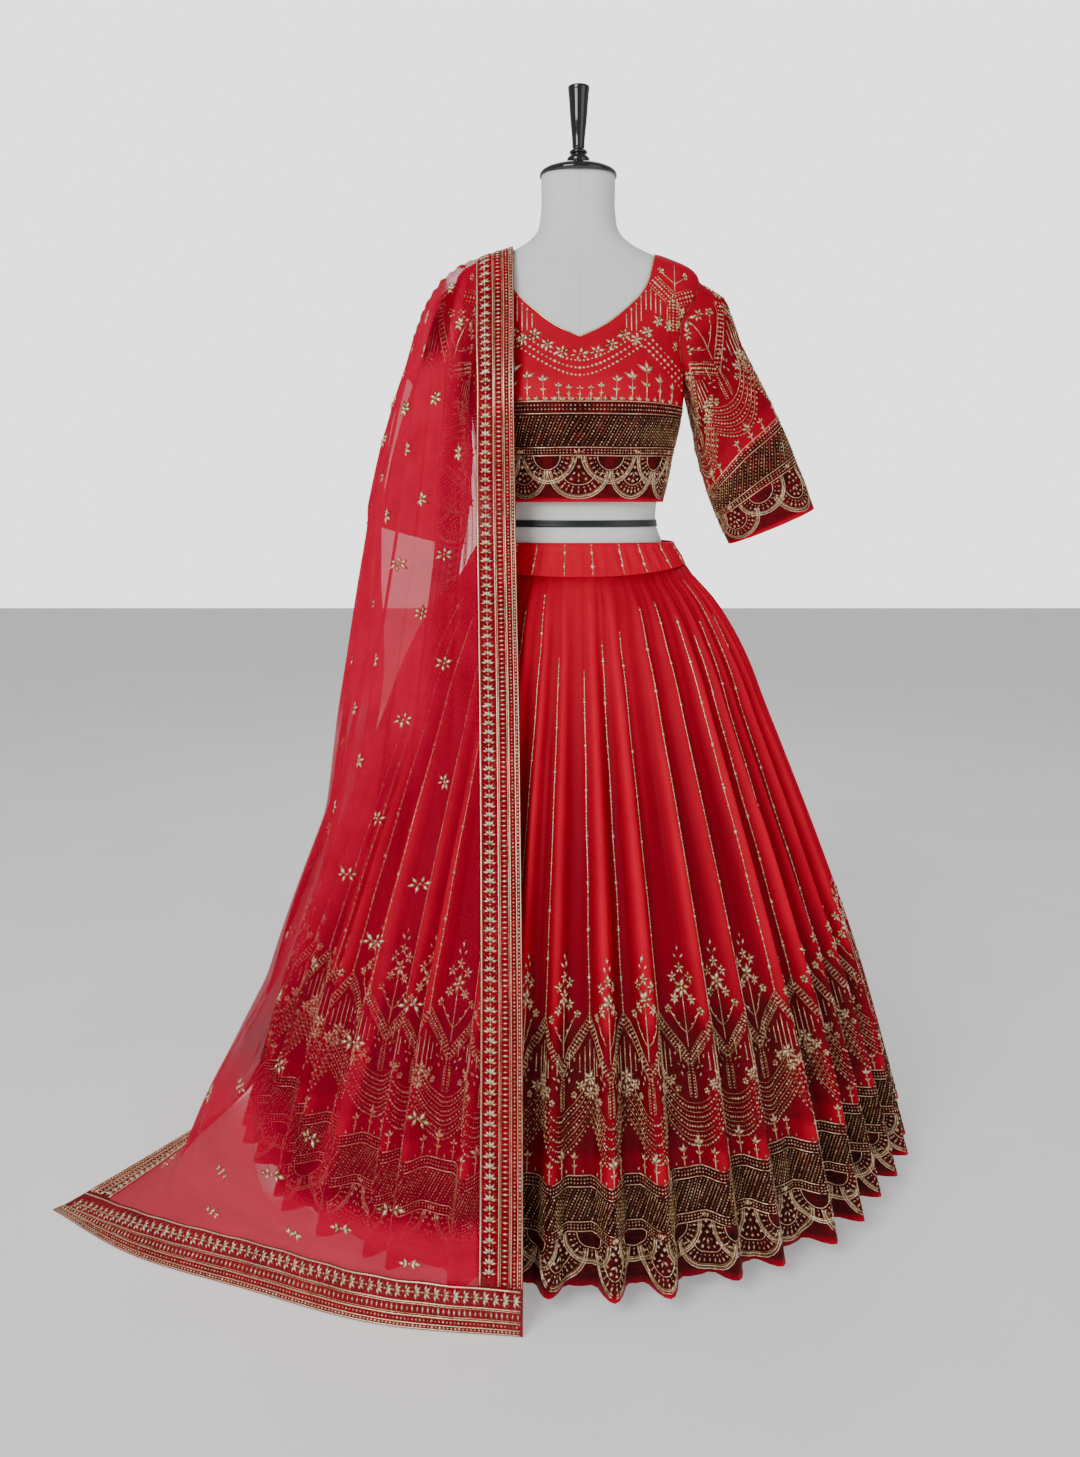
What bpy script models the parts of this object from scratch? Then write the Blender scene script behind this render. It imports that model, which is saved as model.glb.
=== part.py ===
"""A lehenga choli with its dupatta on a limbless dress form.

Metres, +Z up. The wearer's side facing -Y is the front, and the origin is on the
floor under the stand's pole. Every cloth piece is a thin wall whose outer face is
worked out from the tables of section sizes below.
"""

import math

import bmesh
import bpy
import numpy as np

# Cloth
SEAM_GAP = 0.0003
BLOUSE_WALL = 0.0015
SKIRT_WALL = 0.0015
WAISTBAND_WALL = 0.0015
NET_WALL = 0.001
BORDER_WALL = 0.0012

# Dress form and stand
FORM_BOTTOM = 0.70
NECK_TOP = 1.455
CAP_RADIUS = 0.0555
CAP_HEIGHT = 0.016
FINIAL_HEIGHT = 0.104
POLE_RADIUS = 0.0125
BASE_RADIUS = 0.20
BASE_HEIGHT = 0.018
TAPE_HEIGHT = 0.967
TAPE_WIDTH = 0.010
TAPE_WALL = 0.0012
TAPE_LOW = TAPE_HEIGHT - TAPE_WIDTH / 2
TAPE_HIGH = TAPE_HEIGHT + TAPE_WIDTH / 2
AROUND_FORM = 32
SQUARENESS = 2.3

# Blouse
BLOUSE_BOTTOM = 0.999
NECK_POINT_HEIGHT = 1.342
FRONT_NECK_HEIGHT = 1.223
BACK_NECK_HEIGHT = 1.205
ARMHOLE_TOP = 1.312
ARMHOLE_BOTTOM = 1.165
ARMHOLE_TURN = math.radians(30)
ARMHOLE_GAP = 0.0009
SIDE_SEAM = 0.0006
SHOULDER_SEAM = 0.0010
AROUND_SLEEVE = 16
BLOUSE_ROWS = (BLOUSE_BOTTOM, 1.030, 1.060, 1.090, 1.115, 1.140)
BLOUSE_ROWS += tuple(
    (ARMHOLE_TOP + ARMHOLE_BOTTOM - (ARMHOLE_TOP - ARMHOLE_BOTTOM) * math.cos(2 * math.pi * k / AROUND_SLEEVE)) / 2
    for k in range(AROUND_SLEEVE // 2 + 1)
)
BLOUSE_ROWS = tuple(sorted(BLOUSE_ROWS + (FRONT_NECK_HEIGHT, 1.324, NECK_POINT_HEIGHT)))
SLEEVE_HEAD = 0.017
SLEEVE_FULLNESS = 0.014
UNDERARM_EASE = 0.008

# Skirt
PLEATS = 48
PANELS = 12
WAIST_TOP = 0.940
WAIST_BOTTOM = 0.893
WAIST_SIDE_RISE = 0.014
HEM_HEIGHT = 0.030
PLEAT_DEPTH = 0.036
BAND_SEAM = 0.0011
GATHER_DEPTH = 0.0012
GATHERS = 24

# Dupatta
BORDER_WIDTH = 0.056
NET_FOLDS = 9
NET_SEAM = 0.0004
TRAIN_SEAM = 0.0012
SHOULDER_NET_SEAM = 0.0007
NET_SIDE = 0.0008
BORDER_SIDE = 0.010

FORM_COLUMNS = ("height", "half_width", "front", "back", "blouse_ease")
FORM_SECTIONS = (
    (0.700, 0.150, 0.100, 0.110, 0.004),
    (0.760, 0.163, 0.108, 0.124, 0.004),
    (0.820, 0.163, 0.107, 0.124, 0.004),
    (0.880, 0.149, 0.101, 0.113, 0.004),
    (0.940, 0.130, 0.0925, 0.0965, 0.006),
    (0.967, 0.1205, 0.087, 0.089, 0.007),
    (1.000, 0.1215, 0.087, 0.086, 0.010),
    (1.060, 0.133, 0.098, 0.090, 0.010),
    (1.130, 0.1495, 0.110, 0.098, 0.007),
    (1.200, 0.1585, 0.104, 0.102, 0.0026),
    (1.250, 0.166, 0.090, 0.096, 0.0021),
    (1.285, 0.177, 0.076, 0.085, 0.0027),
    (1.305, 0.176, 0.069, 0.077, 0.0034),
    (1.327, 0.163, 0.061, 0.068, 0.0034),
    (1.346, 0.115, 0.053, 0.060, 0.0036),
    (1.360, 0.083, 0.051, 0.056, 0.0028),
    (1.378, 0.061, 0.050, 0.054, 0.0020),
    (1.400, 0.0545, 0.050, 0.0535, 0.0020),
    (1.455, 0.0530, 0.049, 0.0525, 0.0020),
)
BUST_COLUMNS = ("height", "tall", "spread", "wide", "rise", "bridge")
BUST = (1.138, 0.052, 0.070, 0.050, 0.024, 0.013)

FRONT_NECK_COLUMNS = ("height", "half_width")
FRONT_NECK = (
    (1.223, 0.000),
    (1.238, 0.032),
    (1.264, 0.0667),
    (1.2835, 0.0870),
    (1.300, 0.0975),
    (1.325, 0.1055),
    (1.345, 0.1120),
)
BACK_NECK = (
    (1.205, 0.000),
    (1.208, 0.030),
    (1.222, 0.062),
    (1.250, 0.086),
    (1.285, 0.1000),
    (1.320, 0.1075),
    (1.345, 0.1120),
)

SLEEVE_COLUMNS = ("side", "cuff_x", "cuff_y", "cuff_z", "outer_x", "outer_z", "half_depth")
SLEEVES = {
    "sleeve_left": (-1, -0.236, -0.016, 0.947, -0.300, 0.9635, 0.048),
    "sleeve_right": (1, 0.294, -0.016, 0.9625, 0.357, 0.989, 0.050),
}

SKIRT_COLUMNS = ("height", "half_width", "front", "back", "pleat_share")
SKIRT_SECTIONS = (
    (0.940, 0.146, 0.0948, 0.0988, 0.00),
    (0.893, 0.177, 0.1235, 0.1275, 0.04),
    (0.860, 0.209, 0.160, 0.163, 0.12),
    (0.811, 0.243, 0.196, 0.198, 0.22),
    (0.756, 0.272, 0.231, 0.232, 0.32),
    (0.700, 0.295, 0.263, 0.263, 0.42),
    (0.628, 0.326, 0.300, 0.300, 0.52),
    (0.464, 0.395, 0.378, 0.378, 0.70),
    (0.293, 0.461, 0.447, 0.447, 0.86),
    (0.030, 0.544, 0.530, 0.530, 1.00),
)
SKIRT_ROWS = (0.893, 0.845, 0.770, 0.628, 0.36, 0.03)
FRONT_PLEAT_SHIFTS = (0.03, 0.03, 0.39, 0.37, 0.69, 0.69, 0.69, 0.61, 0.53, 0.37, 0.17, 0.0)
PLEAT_COLUMNS = ("place", "rise")
PLEAT_PROFILE = ((-0.27, 0.0), (-0.13, 0.76), (0.0, 1.0), (0.13, 0.76), (0.27, 0.0))

# One row for each section of the dupatta, from its back end over the shoulder to
# its front end: (x, y, z) of the inner edge, three places across, and the outer
# edge, then how deep the folds are there.
DUPATTA_COLUMNS = ("inner", "second", "middle", "fourth", "outer", "fold_depth")
DUPATTA_SECTIONS = (
    ((0.012, 0.400, 0.480), (-0.085, 0.402, 0.468), (-0.18, 0.372, 0.455), (-0.27, 0.318, 0.445), (-0.335, 0.262, 0.430), 0.012),
    ((0.008, 0.376, 0.535), (-0.082, 0.378, 0.523), (-0.17, 0.352, 0.510), (-0.255, 0.302, 0.500), (-0.320, 0.244, 0.485), 0.012),
    ((-0.010, 0.290, 0.700), (-0.080, 0.290, 0.700), (-0.150, 0.272, 0.690), (-0.220, 0.240, 0.670), (-0.280, 0.195, 0.640), 0.011),
    ((-0.040, 0.150, 0.900), (-0.092, 0.152, 0.900), (-0.140, 0.146, 0.895), (-0.188, 0.130, 0.885), (-0.235, 0.110, 0.860), 0.008),
    ((-0.060, 0.116, 1.060), (-0.100, 0.118, 1.055), (-0.140, 0.115, 1.045), (-0.180, 0.105, 1.025), (-0.222, 0.092, 0.990), 0.006),
    ((-0.085, 0.116, 1.235), (-0.118, 0.118, 1.233), (-0.155, 0.114, 1.220), (-0.192, 0.102, 1.190), (-0.228, 0.088, 1.125), 0.004),
    ((-0.093, 0.063, 1.3402), (-0.136, 0.059, 1.3226), (-0.180, 0.057, 1.303), (-0.220, 0.050, 1.250), (-0.248, 0.054, 1.170), 0.002),
    ((-0.094, 0.000, 1.360), (-0.138, 0.000, 1.3455), (-0.184, 0.000, 1.326), (-0.224, 0.000, 1.276), (-0.258, 0.028, 1.180), 0.002),
    ((-0.093, -0.056, 1.341), (-0.136, -0.054, 1.328), (-0.180, -0.051, 1.303), (-0.224, -0.042, 1.248), (-0.266, 0.005, 1.152), 0.002),
    ((-0.091, -0.094, 1.262), (-0.136, -0.090, 1.250), (-0.186, -0.084, 1.232), (-0.240, -0.060, 1.185), (-0.288, 0.020, 1.090), 0.004),
    ((-0.0905, -0.142, 1.150), (-0.142, -0.122, 1.148), (-0.202, -0.100, 1.138), (-0.262, -0.062, 1.105), (-0.300, 0.045, 1.020), 0.006),
    ((-0.0885, -0.150, 0.950), (-0.160, -0.140, 0.950), (-0.245, -0.115, 0.945), (-0.306, -0.045, 0.930), (-0.312, 0.085, 0.890), 0.009),
    ((-0.082, -0.272, 0.700), (-0.190, -0.246, 0.700), (-0.290, -0.176, 0.700), (-0.348, -0.035, 0.700), (-0.322, 0.125, 0.680), 0.013),
    ((-0.077, -0.415, 0.400), (-0.230, -0.366, 0.400), (-0.360, -0.242, 0.400), (-0.405, -0.050, 0.400), (-0.400, 0.180, 0.380), 0.015),
    ((-0.0755, -0.505, 0.160), (-0.262, -0.456, 0.155), (-0.425, -0.335, 0.150), (-0.548, -0.110, 0.140), (-0.480, 0.205, 0.085), 0.010),
    ((-0.0756, -0.523, 0.095), (-0.264, -0.480, 0.085), (-0.430, -0.385, 0.070), (-0.580, -0.250, 0.050), (-0.575, -0.005, 0.0012), 0.004),
    ((-0.0758, -0.534, 0.055), (-0.262, -0.497, 0.050), (-0.425, -0.424, 0.042), (-0.585, -0.350, 0.030), (-0.722, -0.250, 0.0012), 0.002),
    ((-0.076, -0.547, 0.0012), (-0.260, -0.524, 0.0012), (-0.440, -0.460, 0.0012), (-0.610, -0.392, 0.0012), (-0.755, -0.294, 0.0012), 0.0),
)
BACK_END_ROW = 1
SHOULDER_BACK_ROW = 6
SHOULDER_FRONT_ROW = 8
FRONT_END_ROW = 16

COLOURS = {
    "red cloth": ((0.62, 0.010, 0.022), 0.62, 0.0),
    "red net": ((0.72, 0.015, 0.045), 0.55, 0.0),
    "gold border": ((0.48, 0.23, 0.075), 0.42, 0.5),
    "form cover": ((0.72, 0.75, 0.71), 0.80, 0.0),
    "black gloss": ((0.010, 0.011, 0.014), 0.12, 0.0),
    "black tape": ((0.012, 0.014, 0.015), 0.45, 0.0),
    "steel": ((0.55, 0.56, 0.57), 0.30, 1.0),
}


def start_scene():
    """Empties the scene and makes the collection that holds the parts."""
    for item in list(bpy.data.objects):
        bpy.data.objects.remove(item)
    parts = bpy.data.collections.new("lehenga_choli")
    bpy.context.scene.collection.children.link(parts)
    return parts


def material(name):
    """The plain shader of one of the object's materials."""
    made = bpy.data.materials.get(name)
    if made:
        return made
    colour, roughness, metallic = COLOURS[name]
    made = bpy.data.materials.new(name)
    made.use_nodes = True
    shader = made.node_tree.nodes["Principled BSDF"]
    shader.inputs["Base Color"].default_value = (*colour, 1.0)
    shader.inputs["Roughness"].default_value = roughness
    shader.inputs["Metallic"].default_value = metallic
    return made


def smooth_through(keys, values, at):
    """A smooth curve through a table's rows, read at given keys (the keys rise)."""
    keys, values = np.asarray(keys, float), np.asarray(values, float)
    at = np.clip(at, keys[0], keys[-1])
    step = np.diff(keys)
    rise = np.diff(values, axis=0) / step.reshape((-1,) + (1,) * (values.ndim - 1))
    slope = np.empty_like(values)
    slope[1:-1] = (rise[1:] + rise[:-1]) / 2
    slope[0], slope[-1] = rise[0], rise[-1]
    cell = np.clip(np.searchsorted(keys, at, side="right") - 1, 0, len(keys) - 2)
    share = (at - keys[cell]) / step[cell]
    tail = (1,) * (values.ndim - 1)
    share = np.reshape(share, np.shape(at) + tail)
    width = np.reshape(step[cell], np.shape(at) + tail)
    start = (1 + 2 * share) * (1 - share) ** 2 * values[cell]
    end = share**2 * (3 - 2 * share) * values[cell + 1]
    start_slope = share * (1 - share) ** 2 * width * slope[cell]
    end_slope = share**2 * (share - 1) * width * slope[cell + 1]
    return start + end + start_slope + end_slope


def column(table, names, name, height):
    """One column of a table of sections, read smoothly at a height."""
    rows = np.array(sorted(table), float)
    return smooth_through(rows[:, 0], rows[:, names.index(name)], height)


def ring(angle, half_width, front, back, squareness):
    """A point on a rounded ring; the angle runs from the front towards +X."""
    side, ahead = np.sin(angle), np.cos(angle)
    power = 2 / squareness
    x = half_width * np.sign(side) * np.abs(side) ** power
    y = -np.where(ahead > 0, front, back) * np.sign(ahead) * np.abs(ahead) ** power
    return x, y


def torso(angle, height, bridge=0.0):
    """A point on the dress form, or on cloth that bridges the hollow between the bust's sides."""
    half_width, front, back = (
        column(FORM_SECTIONS, FORM_COLUMNS, name, height) for name in FORM_COLUMNS[1:4]
    )
    x, y = ring(angle, half_width, front, back, SQUARENESS)
    middle, tall, spread, wide, rise, _ = BUST
    level = np.exp(-(((height - middle) / tall) ** 2))
    cups = np.exp(-(((x - spread) / wide) ** 2)) + np.exp(-(((x + spread) / wide) ** 2))
    between = bridge * np.exp(-((x / (spread * 0.7)) ** 2))
    y = y - np.clip(np.cos(angle) * 2, 0, 1) * level * (rise * cups + between)
    return np.stack([x, y, height + 0 * x], -1)


def out_from_torso(angle, height, ease, bridge=0.0):
    """A point of a cloth that lies a distance out from the dress form's surface."""
    spot = torso(angle, height, bridge)
    turn = torso(angle + 0.01, height, bridge) - torso(angle - 0.01, height, bridge)
    climb = torso(angle, height + 0.003, bridge) - torso(angle, height - 0.003, bridge)
    normal = np.cross(turn, climb)
    return spot + np.asarray(ease)[..., None] * normal / np.linalg.norm(normal, axis=-1, keepdims=True)


def blouse(angle, height):
    """A point on the outside of the blouse."""
    ease = column(FORM_SECTIONS, FORM_COLUMNS, "blouse_ease", height)
    return out_from_torso(angle, height, ease, BUST[5])


ARMHOLE_MIDDLE = (ARMHOLE_TOP + ARMHOLE_BOTTOM) / 2
ARMHOLE_HALF = (ARMHOLE_TOP - ARMHOLE_BOTTOM) / 2


def armhole_turn(height):
    """How far the armhole's edge lies in front of or behind the side seam, as an angle."""
    share = (height - ARMHOLE_MIDDLE) / ARMHOLE_HALF
    return ARMHOLE_TURN * np.sqrt(np.clip(1 - share**2, 0, 1))


def neck_angle(table, height):
    """The ring angle at which the neckline crosses a height, measured from the centre."""
    rows = np.array(table)
    if height <= rows[0, 0]:
        return 0.0
    ease = column(FORM_SECTIONS, FORM_COLUMNS, "blouse_ease", height)
    half_width = column(FORM_SECTIONS, FORM_COLUMNS, "half_width", height) + ease
    share = min(smooth_through(rows[:, 0], rows[:, 1], height) / half_width, 0.985)
    return math.asin(share ** (SQUARENESS / 2))


def sleeve(name, around, along):
    """A point on the outside of a sleeve: around from the top by the front, along to the cuff."""
    side, cuff_x, cuff_y, cuff_z, outer_x, outer_z, half_depth = SLEEVES[name]
    height = ARMHOLE_MIDDLE + (ARMHOLE_HALF - ARMHOLE_GAP) * np.cos(around)
    start = blouse(math.pi / 2 - (ARMHOLE_TURN - ARMHOLE_GAP * 10) * np.sin(around), height)
    under = np.sqrt(np.clip(-np.cos(around), 0, 1))
    start[..., 0] = (start[..., 0] + ARMHOLE_GAP * (1 + under)) * side
    centre = np.array([cuff_x, cuff_y, cuff_z])
    outward = np.array([outer_x - cuff_x, 0.0, outer_z - cuff_z])
    ahead = np.array([0.0, -half_depth, 0.0])
    cuff = centre + np.cos(around)[..., None] * outward + np.sin(around)[..., None] * ahead
    along = np.asarray(along, float)[..., None]
    head = SLEEVE_HEAD * np.exp(-(((along - 0.10) / 0.14) ** 2)) * np.clip(along / 0.06, 0, 1)
    head = head * np.clip(np.cos(around), 0, 1)[..., None]
    head = head + SLEEVE_FULLNESS * np.sin(math.pi * along) * np.cos(around)[..., None]
    lift = outward + np.array([0.0, 0.0, 0.4 * np.linalg.norm(outward)])
    lift = lift / np.linalg.norm(lift)
    away = np.zeros(3) + [side, 0.0, 0.0]
    ease = UNDERARM_EASE * under[..., None] * np.clip(along / 0.06, 0, 1) * (1 - along)
    return start * (1 - along) + cuff * along + head * lift + ease * away


def pleat_angle(number):
    """The ring angle of a pleat's ridge: even steps, a little uneven as hung cloth is."""
    place = number % PLEATS
    wander = 0.16 * np.sin(2.399 * place) + 0.10 * np.sin(4.1 * place + 1.0)
    if place < len(FRONT_PLEAT_SHIFTS):
        wander = FRONT_PLEAT_SHIFTS[place]
    return 2 * math.pi * (number + 0.5 + wander) / PLEATS


def pleat_height(number):
    """How far a pleat's ridge stands out, as a share of the depth at its height."""
    return 0.86 + 0.14 * np.sin(1.7 * (number % PLEATS) + 0.6)


def skirt_ring(angle, height, share):
    """A point of the skirt; share is 1 on a pleat's ridge and 0 in the valleys."""
    half_width, front, back, depth = (
        column(SKIRT_SECTIONS, SKIRT_COLUMNS, name, height) for name in SKIRT_COLUMNS[1:]
    )
    inset = PLEAT_DEPTH * depth * (1 - share)
    square = 2.0 + (SQUARENESS - 2.0) * np.clip((height - 0.80) / (WAIST_TOP - 0.80), 0, 1)
    x, y = ring(angle, half_width - inset, front - inset, back - inset, square)
    return np.stack([x, y, height + 0 * x], -1)


def waist_bottom(angle):
    """Height of the seam between the waistband and the skirt; it rises at the sides."""
    return WAIST_BOTTOM + WAIST_SIDE_RISE * np.sin(angle) ** 2


def skirt_panel_point(station, height):
    """A point of the pleated skirt. A station is (ring angle, ridge share)."""
    angle, share = station
    top = float(waist_bottom(angle)) - BAND_SEAM
    span = (height - HEM_HEIGHT) / (SKIRT_ROWS[0] - HEM_HEIGHT)
    return skirt_ring(angle, HEM_HEIGHT + span * (top - HEM_HEIGHT), share)


def panel_stations(panel):
    """The stations of one skirt panel, from seam to seam, with the pleats between."""
    per_panel = PLEATS // PANELS
    first = panel * per_panel
    seams = [(pleat_angle(n - 1) + pleat_angle(n)) / 2 for n in (first, first + per_panel)]
    stations = [(seams[0], 0.0)]
    for number in range(first, first + per_panel):
        gap = (pleat_angle(number + 1) - pleat_angle(number - 1)) / 2
        for place, rise in PLEAT_PROFILE:
            stations.append((pleat_angle(number) + place * gap, rise * pleat_height(number)))
    return stations + [(seams[1], 0.0)]


def outline_of_supports(height):
    """Points round what the dupatta hangs against at a height: blouse, sleeve and skirt."""
    angles = np.linspace(0, 2 * math.pi, 73)
    found = []
    if height >= WAIST_BOTTOM:
        found.append(blouse(angles, np.full_like(angles, height)))
    if height <= WAIST_TOP:
        found.append(skirt_ring(angles, np.full_like(angles, height), 1.0))
    along = np.linspace(0, 1, 41)
    grid = sleeve("sleeve_left", angles[None, :] + 0 * along[:, None], along[:, None] + 0 * angles)
    near = np.abs(grid[..., 2] - height) < 0.035
    if near.any():
        found.append(grid[near])
    return np.concatenate(found)[:, :2]


def clearance_table(heights, angles):
    """How far out taut cloth lies round the supports, for each height and angle."""
    ways = np.radians(np.arange(0, 360, 4.0))
    rows = []
    for height in heights:
        points = outline_of_supports(height)
        reach = (np.outer(-np.sin(ways), points[:, 0]) + np.outer(-np.cos(ways), points[:, 1])).max(1)
        lean = np.cos(ways[None, :] - angles[:, None])
        rows.append(np.where(lean > 0.05, reach[None, :] / np.maximum(lean, 0.05), 9.0).min(1))
    return np.array(rows)


class Dupatta:
    """The dupatta as one sheet, read at (across in 0..1, row of the table)."""

    heights = np.linspace(0.0, 1.29, 44)
    angles = np.radians(np.linspace(-20, 200, 56))
    fine_across = 61
    clear = 0.008

    def __init__(self):
        self.guides = np.array([row[:5] for row in DUPATTA_SECTIONS], float)
        self.depths = np.array([row[5] for row in DUPATTA_SECTIONS], float)
        self.taut = clearance_table(self.heights, self.angles)

    def taut_radius(self, angle, height):
        """The clearance table read between its rows and columns."""
        row = np.clip(height / self.heights[-1] * (len(self.heights) - 1), 0, len(self.heights) - 1.001)
        step = self.angles[1] - self.angles[0]
        place = np.clip((angle - self.angles[0]) / step, 0, len(self.angles) - 1.001)
        r, c = row.astype(int), place.astype(int)
        up, over = row - r, place - c
        low = self.taut[r, c] * (1 - over) + self.taut[r, c + 1] * over
        high = self.taut[r + 1, c] * (1 - over) + self.taut[r + 1, c + 1] * over
        return low * (1 - up) + high * up

    def keep_clear(self, points):
        """Moves points out to where taut cloth would lie, below the shoulder."""
        radius = np.hypot(points[..., 0], points[..., 1])
        angle = np.arctan2(-points[..., 0], -points[..., 1])
        angle = np.where(angle < self.angles[0], angle + 2 * math.pi, angle)
        least = self.taut_radius(angle, points[..., 2]) + self.clear
        pushed = (radius + least + np.sqrt((radius - least) ** 2 + 0.004**2)) / 2
        share = np.clip((1.285 - points[..., 2]) / 0.06, 0, 1)
        grow = 1 + (pushed / radius - 1) * share
        return points * np.stack([grow, grow, np.ones_like(grow)], -1)

    def beside(self, place, distance):
        """The row number that lies a distance in metres beside a row of the table."""
        after = self.guides[place + (1 if distance > 0 else -1), 2]
        return place + distance / np.linalg.norm(after - self.guides[place, 2])

    def row(self, place):
        """A section at a row number (fractions allowed), as evenly spaced fine points."""
        rows = np.arange(len(self.guides))
        guides = smooth_through(rows, self.guides, place)
        fine = np.linspace(0, 4, self.fine_across)
        points = self.keep_clear(smooth_through(np.arange(5), guides, fine))
        points[:, 2] = np.maximum(points[:, 2], BORDER_WALL)
        return points

    def point(self, across, place):
        """A point on the sheet's outer face. Across runs 0-1 inner border, 1-2 net, 2-3 outer border."""
        line = self.row(place)
        run = np.concatenate([[0], np.cumsum(np.linalg.norm(np.diff(line, axis=0), axis=1))])
        stops = [0, BORDER_WIDTH, run[-1] - BORDER_WIDTH, run[-1]]
        length = np.interp(across, [0, 1, 2, 3], stops)
        spot = np.array([np.interp(length, run, line[:, k]) for k in range(3)])
        share = across - 1
        if 0 < share < 1:
            depth = float(smooth_through(np.arange(len(self.depths)), self.depths, place))
            wave = 0.5 - 0.5 * math.cos(2 * math.pi * NET_FOLDS * share)
            away = spot - np.array([0.0, 0.0, 1.0 if spot[2] > 1.2 else spot[2]])
            spot = spot + depth * wave * away / np.linalg.norm(away)
        return spot


def finish(name, shape, parts, kind):
    """Makes a mesh object of a bmesh, with its material, in the parts collection."""
    mesh = bpy.data.meshes.new(name)
    shape.to_mesh(mesh)
    shape.free()
    made = bpy.data.objects.new(name, mesh)
    made.data.materials.append(material(kind))
    parts.objects.link(made)
    return made


def thicken(made, wall):
    """Gives an open cloth surface its wall, inwards from its outer face."""
    solid = made.modifiers.new("wall", "SOLIDIFY")
    solid.thickness = wall
    solid.offset = -1.0
    solid.use_even_offset = True


def cloth(name, parts, kind, wall, across, along, place, closed=False, mirrored=False):
    """A cloth panel: a grid moved onto place(across, along), closed to a tube or mirrored."""
    shape = bmesh.new()
    columns, rows = len(across) - 1, len(along) - 1
    bmesh.ops.create_grid(shape, x_segments=columns, y_segments=rows, size=1.0)
    for corner in shape.verts:
        i = round((corner.co.x + 1) / 2 * columns)
        j = round((corner.co.y + 1) / 2 * rows)
        corner.co = [float(value) for value in place(across[i], along[j])]
    if closed:
        bmesh.ops.remove_doubles(shape, verts=shape.verts, dist=0.00002)
    made = finish(name, shape, parts, kind)
    if mirrored:
        other_half = made.modifiers.new("other half", "MIRROR")
        other_half.merge_threshold = 0.0001
    thicken(made, wall)
    made.data.shade_smooth()
    return made


def turned(name, parts, kind, profile, steps):
    """A turned piece from its profile, (radius, height) from top to bottom on the +X side."""
    shape = bmesh.new()
    corners = [shape.verts.new((radius, 0.0, height)) for radius, height in profile]
    for upper, lower in zip(corners, corners[1:]):
        shape.edges.new((upper, lower))
    made = finish(name, shape, parts, kind)
    spin = made.modifiers.new("turn", "SCREW")
    spin.steps = spin.render_steps = steps
    spin.use_merge_vertices = True
    spin.merge_threshold = 0.00002
    return made


def form_body(parts):
    """The dress form's body: closed rings from the hips to the top of the neck."""
    heights = (0.70, 0.73, 0.78, 0.83, 0.88, 0.92, 0.94, TAPE_LOW, TAPE_HIGH, BLOUSE_BOTTOM)
    heights += BLOUSE_ROWS[1:] + (1.352, 1.362, 1.378, 1.40, NECK_TOP)
    around = AROUND_FORM
    shape = bmesh.new()
    rings = []
    for height in heights:
        angles = 2 * math.pi * np.arange(around) / around
        points = torso(angles, np.full(around, height))
        rings.append([shape.verts.new([float(v) for v in point]) for point in points])
    for lower, upper in zip(rings, rings[1:]):
        for i in range(around):
            j = (i + 1) % around
            shape.faces.new((lower[i], lower[j], upper[j], upper[i]))
    shape.faces.new(list(reversed(rings[0])))
    shape.faces.new(rings[-1])
    bmesh.ops.recalc_face_normals(shape, faces=shape.faces)
    finish("form_body", shape, parts, "form cover").data.shade_smooth()


def form_fittings(parts):
    """The neck cap, its finial, the waist tape, the pole and the round base."""
    top = NECK_TOP + SEAM_GAP
    cap = [(0.0, top + CAP_HEIGHT)]
    for step in range(1, 7):
        turn = math.pi / 2 * step / 6
        cap.append((CAP_RADIUS * math.sin(turn) ** 0.8, top + 0.003 + (CAP_HEIGHT - 0.003) * math.cos(turn)))
    cap += [(CAP_RADIUS, top + 0.001), (CAP_RADIUS - 0.001, top), (0.0, top)]
    turned("neck_cap", parts, "black gloss", cap, 28)
    foot = top + CAP_HEIGHT + SEAM_GAP
    finial_profile = (
        (0.0, 1.0), (0.0145, 1.0), (0.0155, 0.985), (0.0150, 0.95), (0.0120, 0.60), (0.0088, 0.24),
        (0.0090, 0.20), (0.0120, 0.185), (0.0122, 0.15), (0.0100, 0.135), (0.0150, 0.10), (0.0165, 0.055),
        (0.0140, 0.015), (0.0125, 0.0), (0.0, 0.0),
    )
    finial = [(radius, foot + share * FINIAL_HEIGHT) for radius, share in finial_profile]
    turned("finial", parts, "black gloss", finial, 20)
    ease = TAPE_WALL + 2 * SEAM_GAP
    cloth(
        "waist_tape", parts, "black tape", TAPE_WALL,
        np.linspace(0, 2 * math.pi, AROUND_FORM + 1), (TAPE_LOW, TAPE_HIGH),
        lambda turn, height: out_from_torso(turn, np.float64(height), ease),
        closed=True,
    )
    pole_low, pole_high = BASE_HEIGHT + SEAM_GAP, FORM_BOTTOM - SEAM_GAP
    pole = [(0.0, pole_high), (POLE_RADIUS, pole_high), (POLE_RADIUS, pole_low), (0.0, pole_low)]
    turned("pole", parts, "steel", pole, 20)
    edge = 0.004
    base = [(0.0, BASE_HEIGHT), (BASE_RADIUS - edge, BASE_HEIGHT), (BASE_RADIUS, BASE_HEIGHT - edge)]
    turned("base", parts, "black tape", base + [(BASE_RADIUS, 0.0), (0.0, 0.0)], 40)


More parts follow.
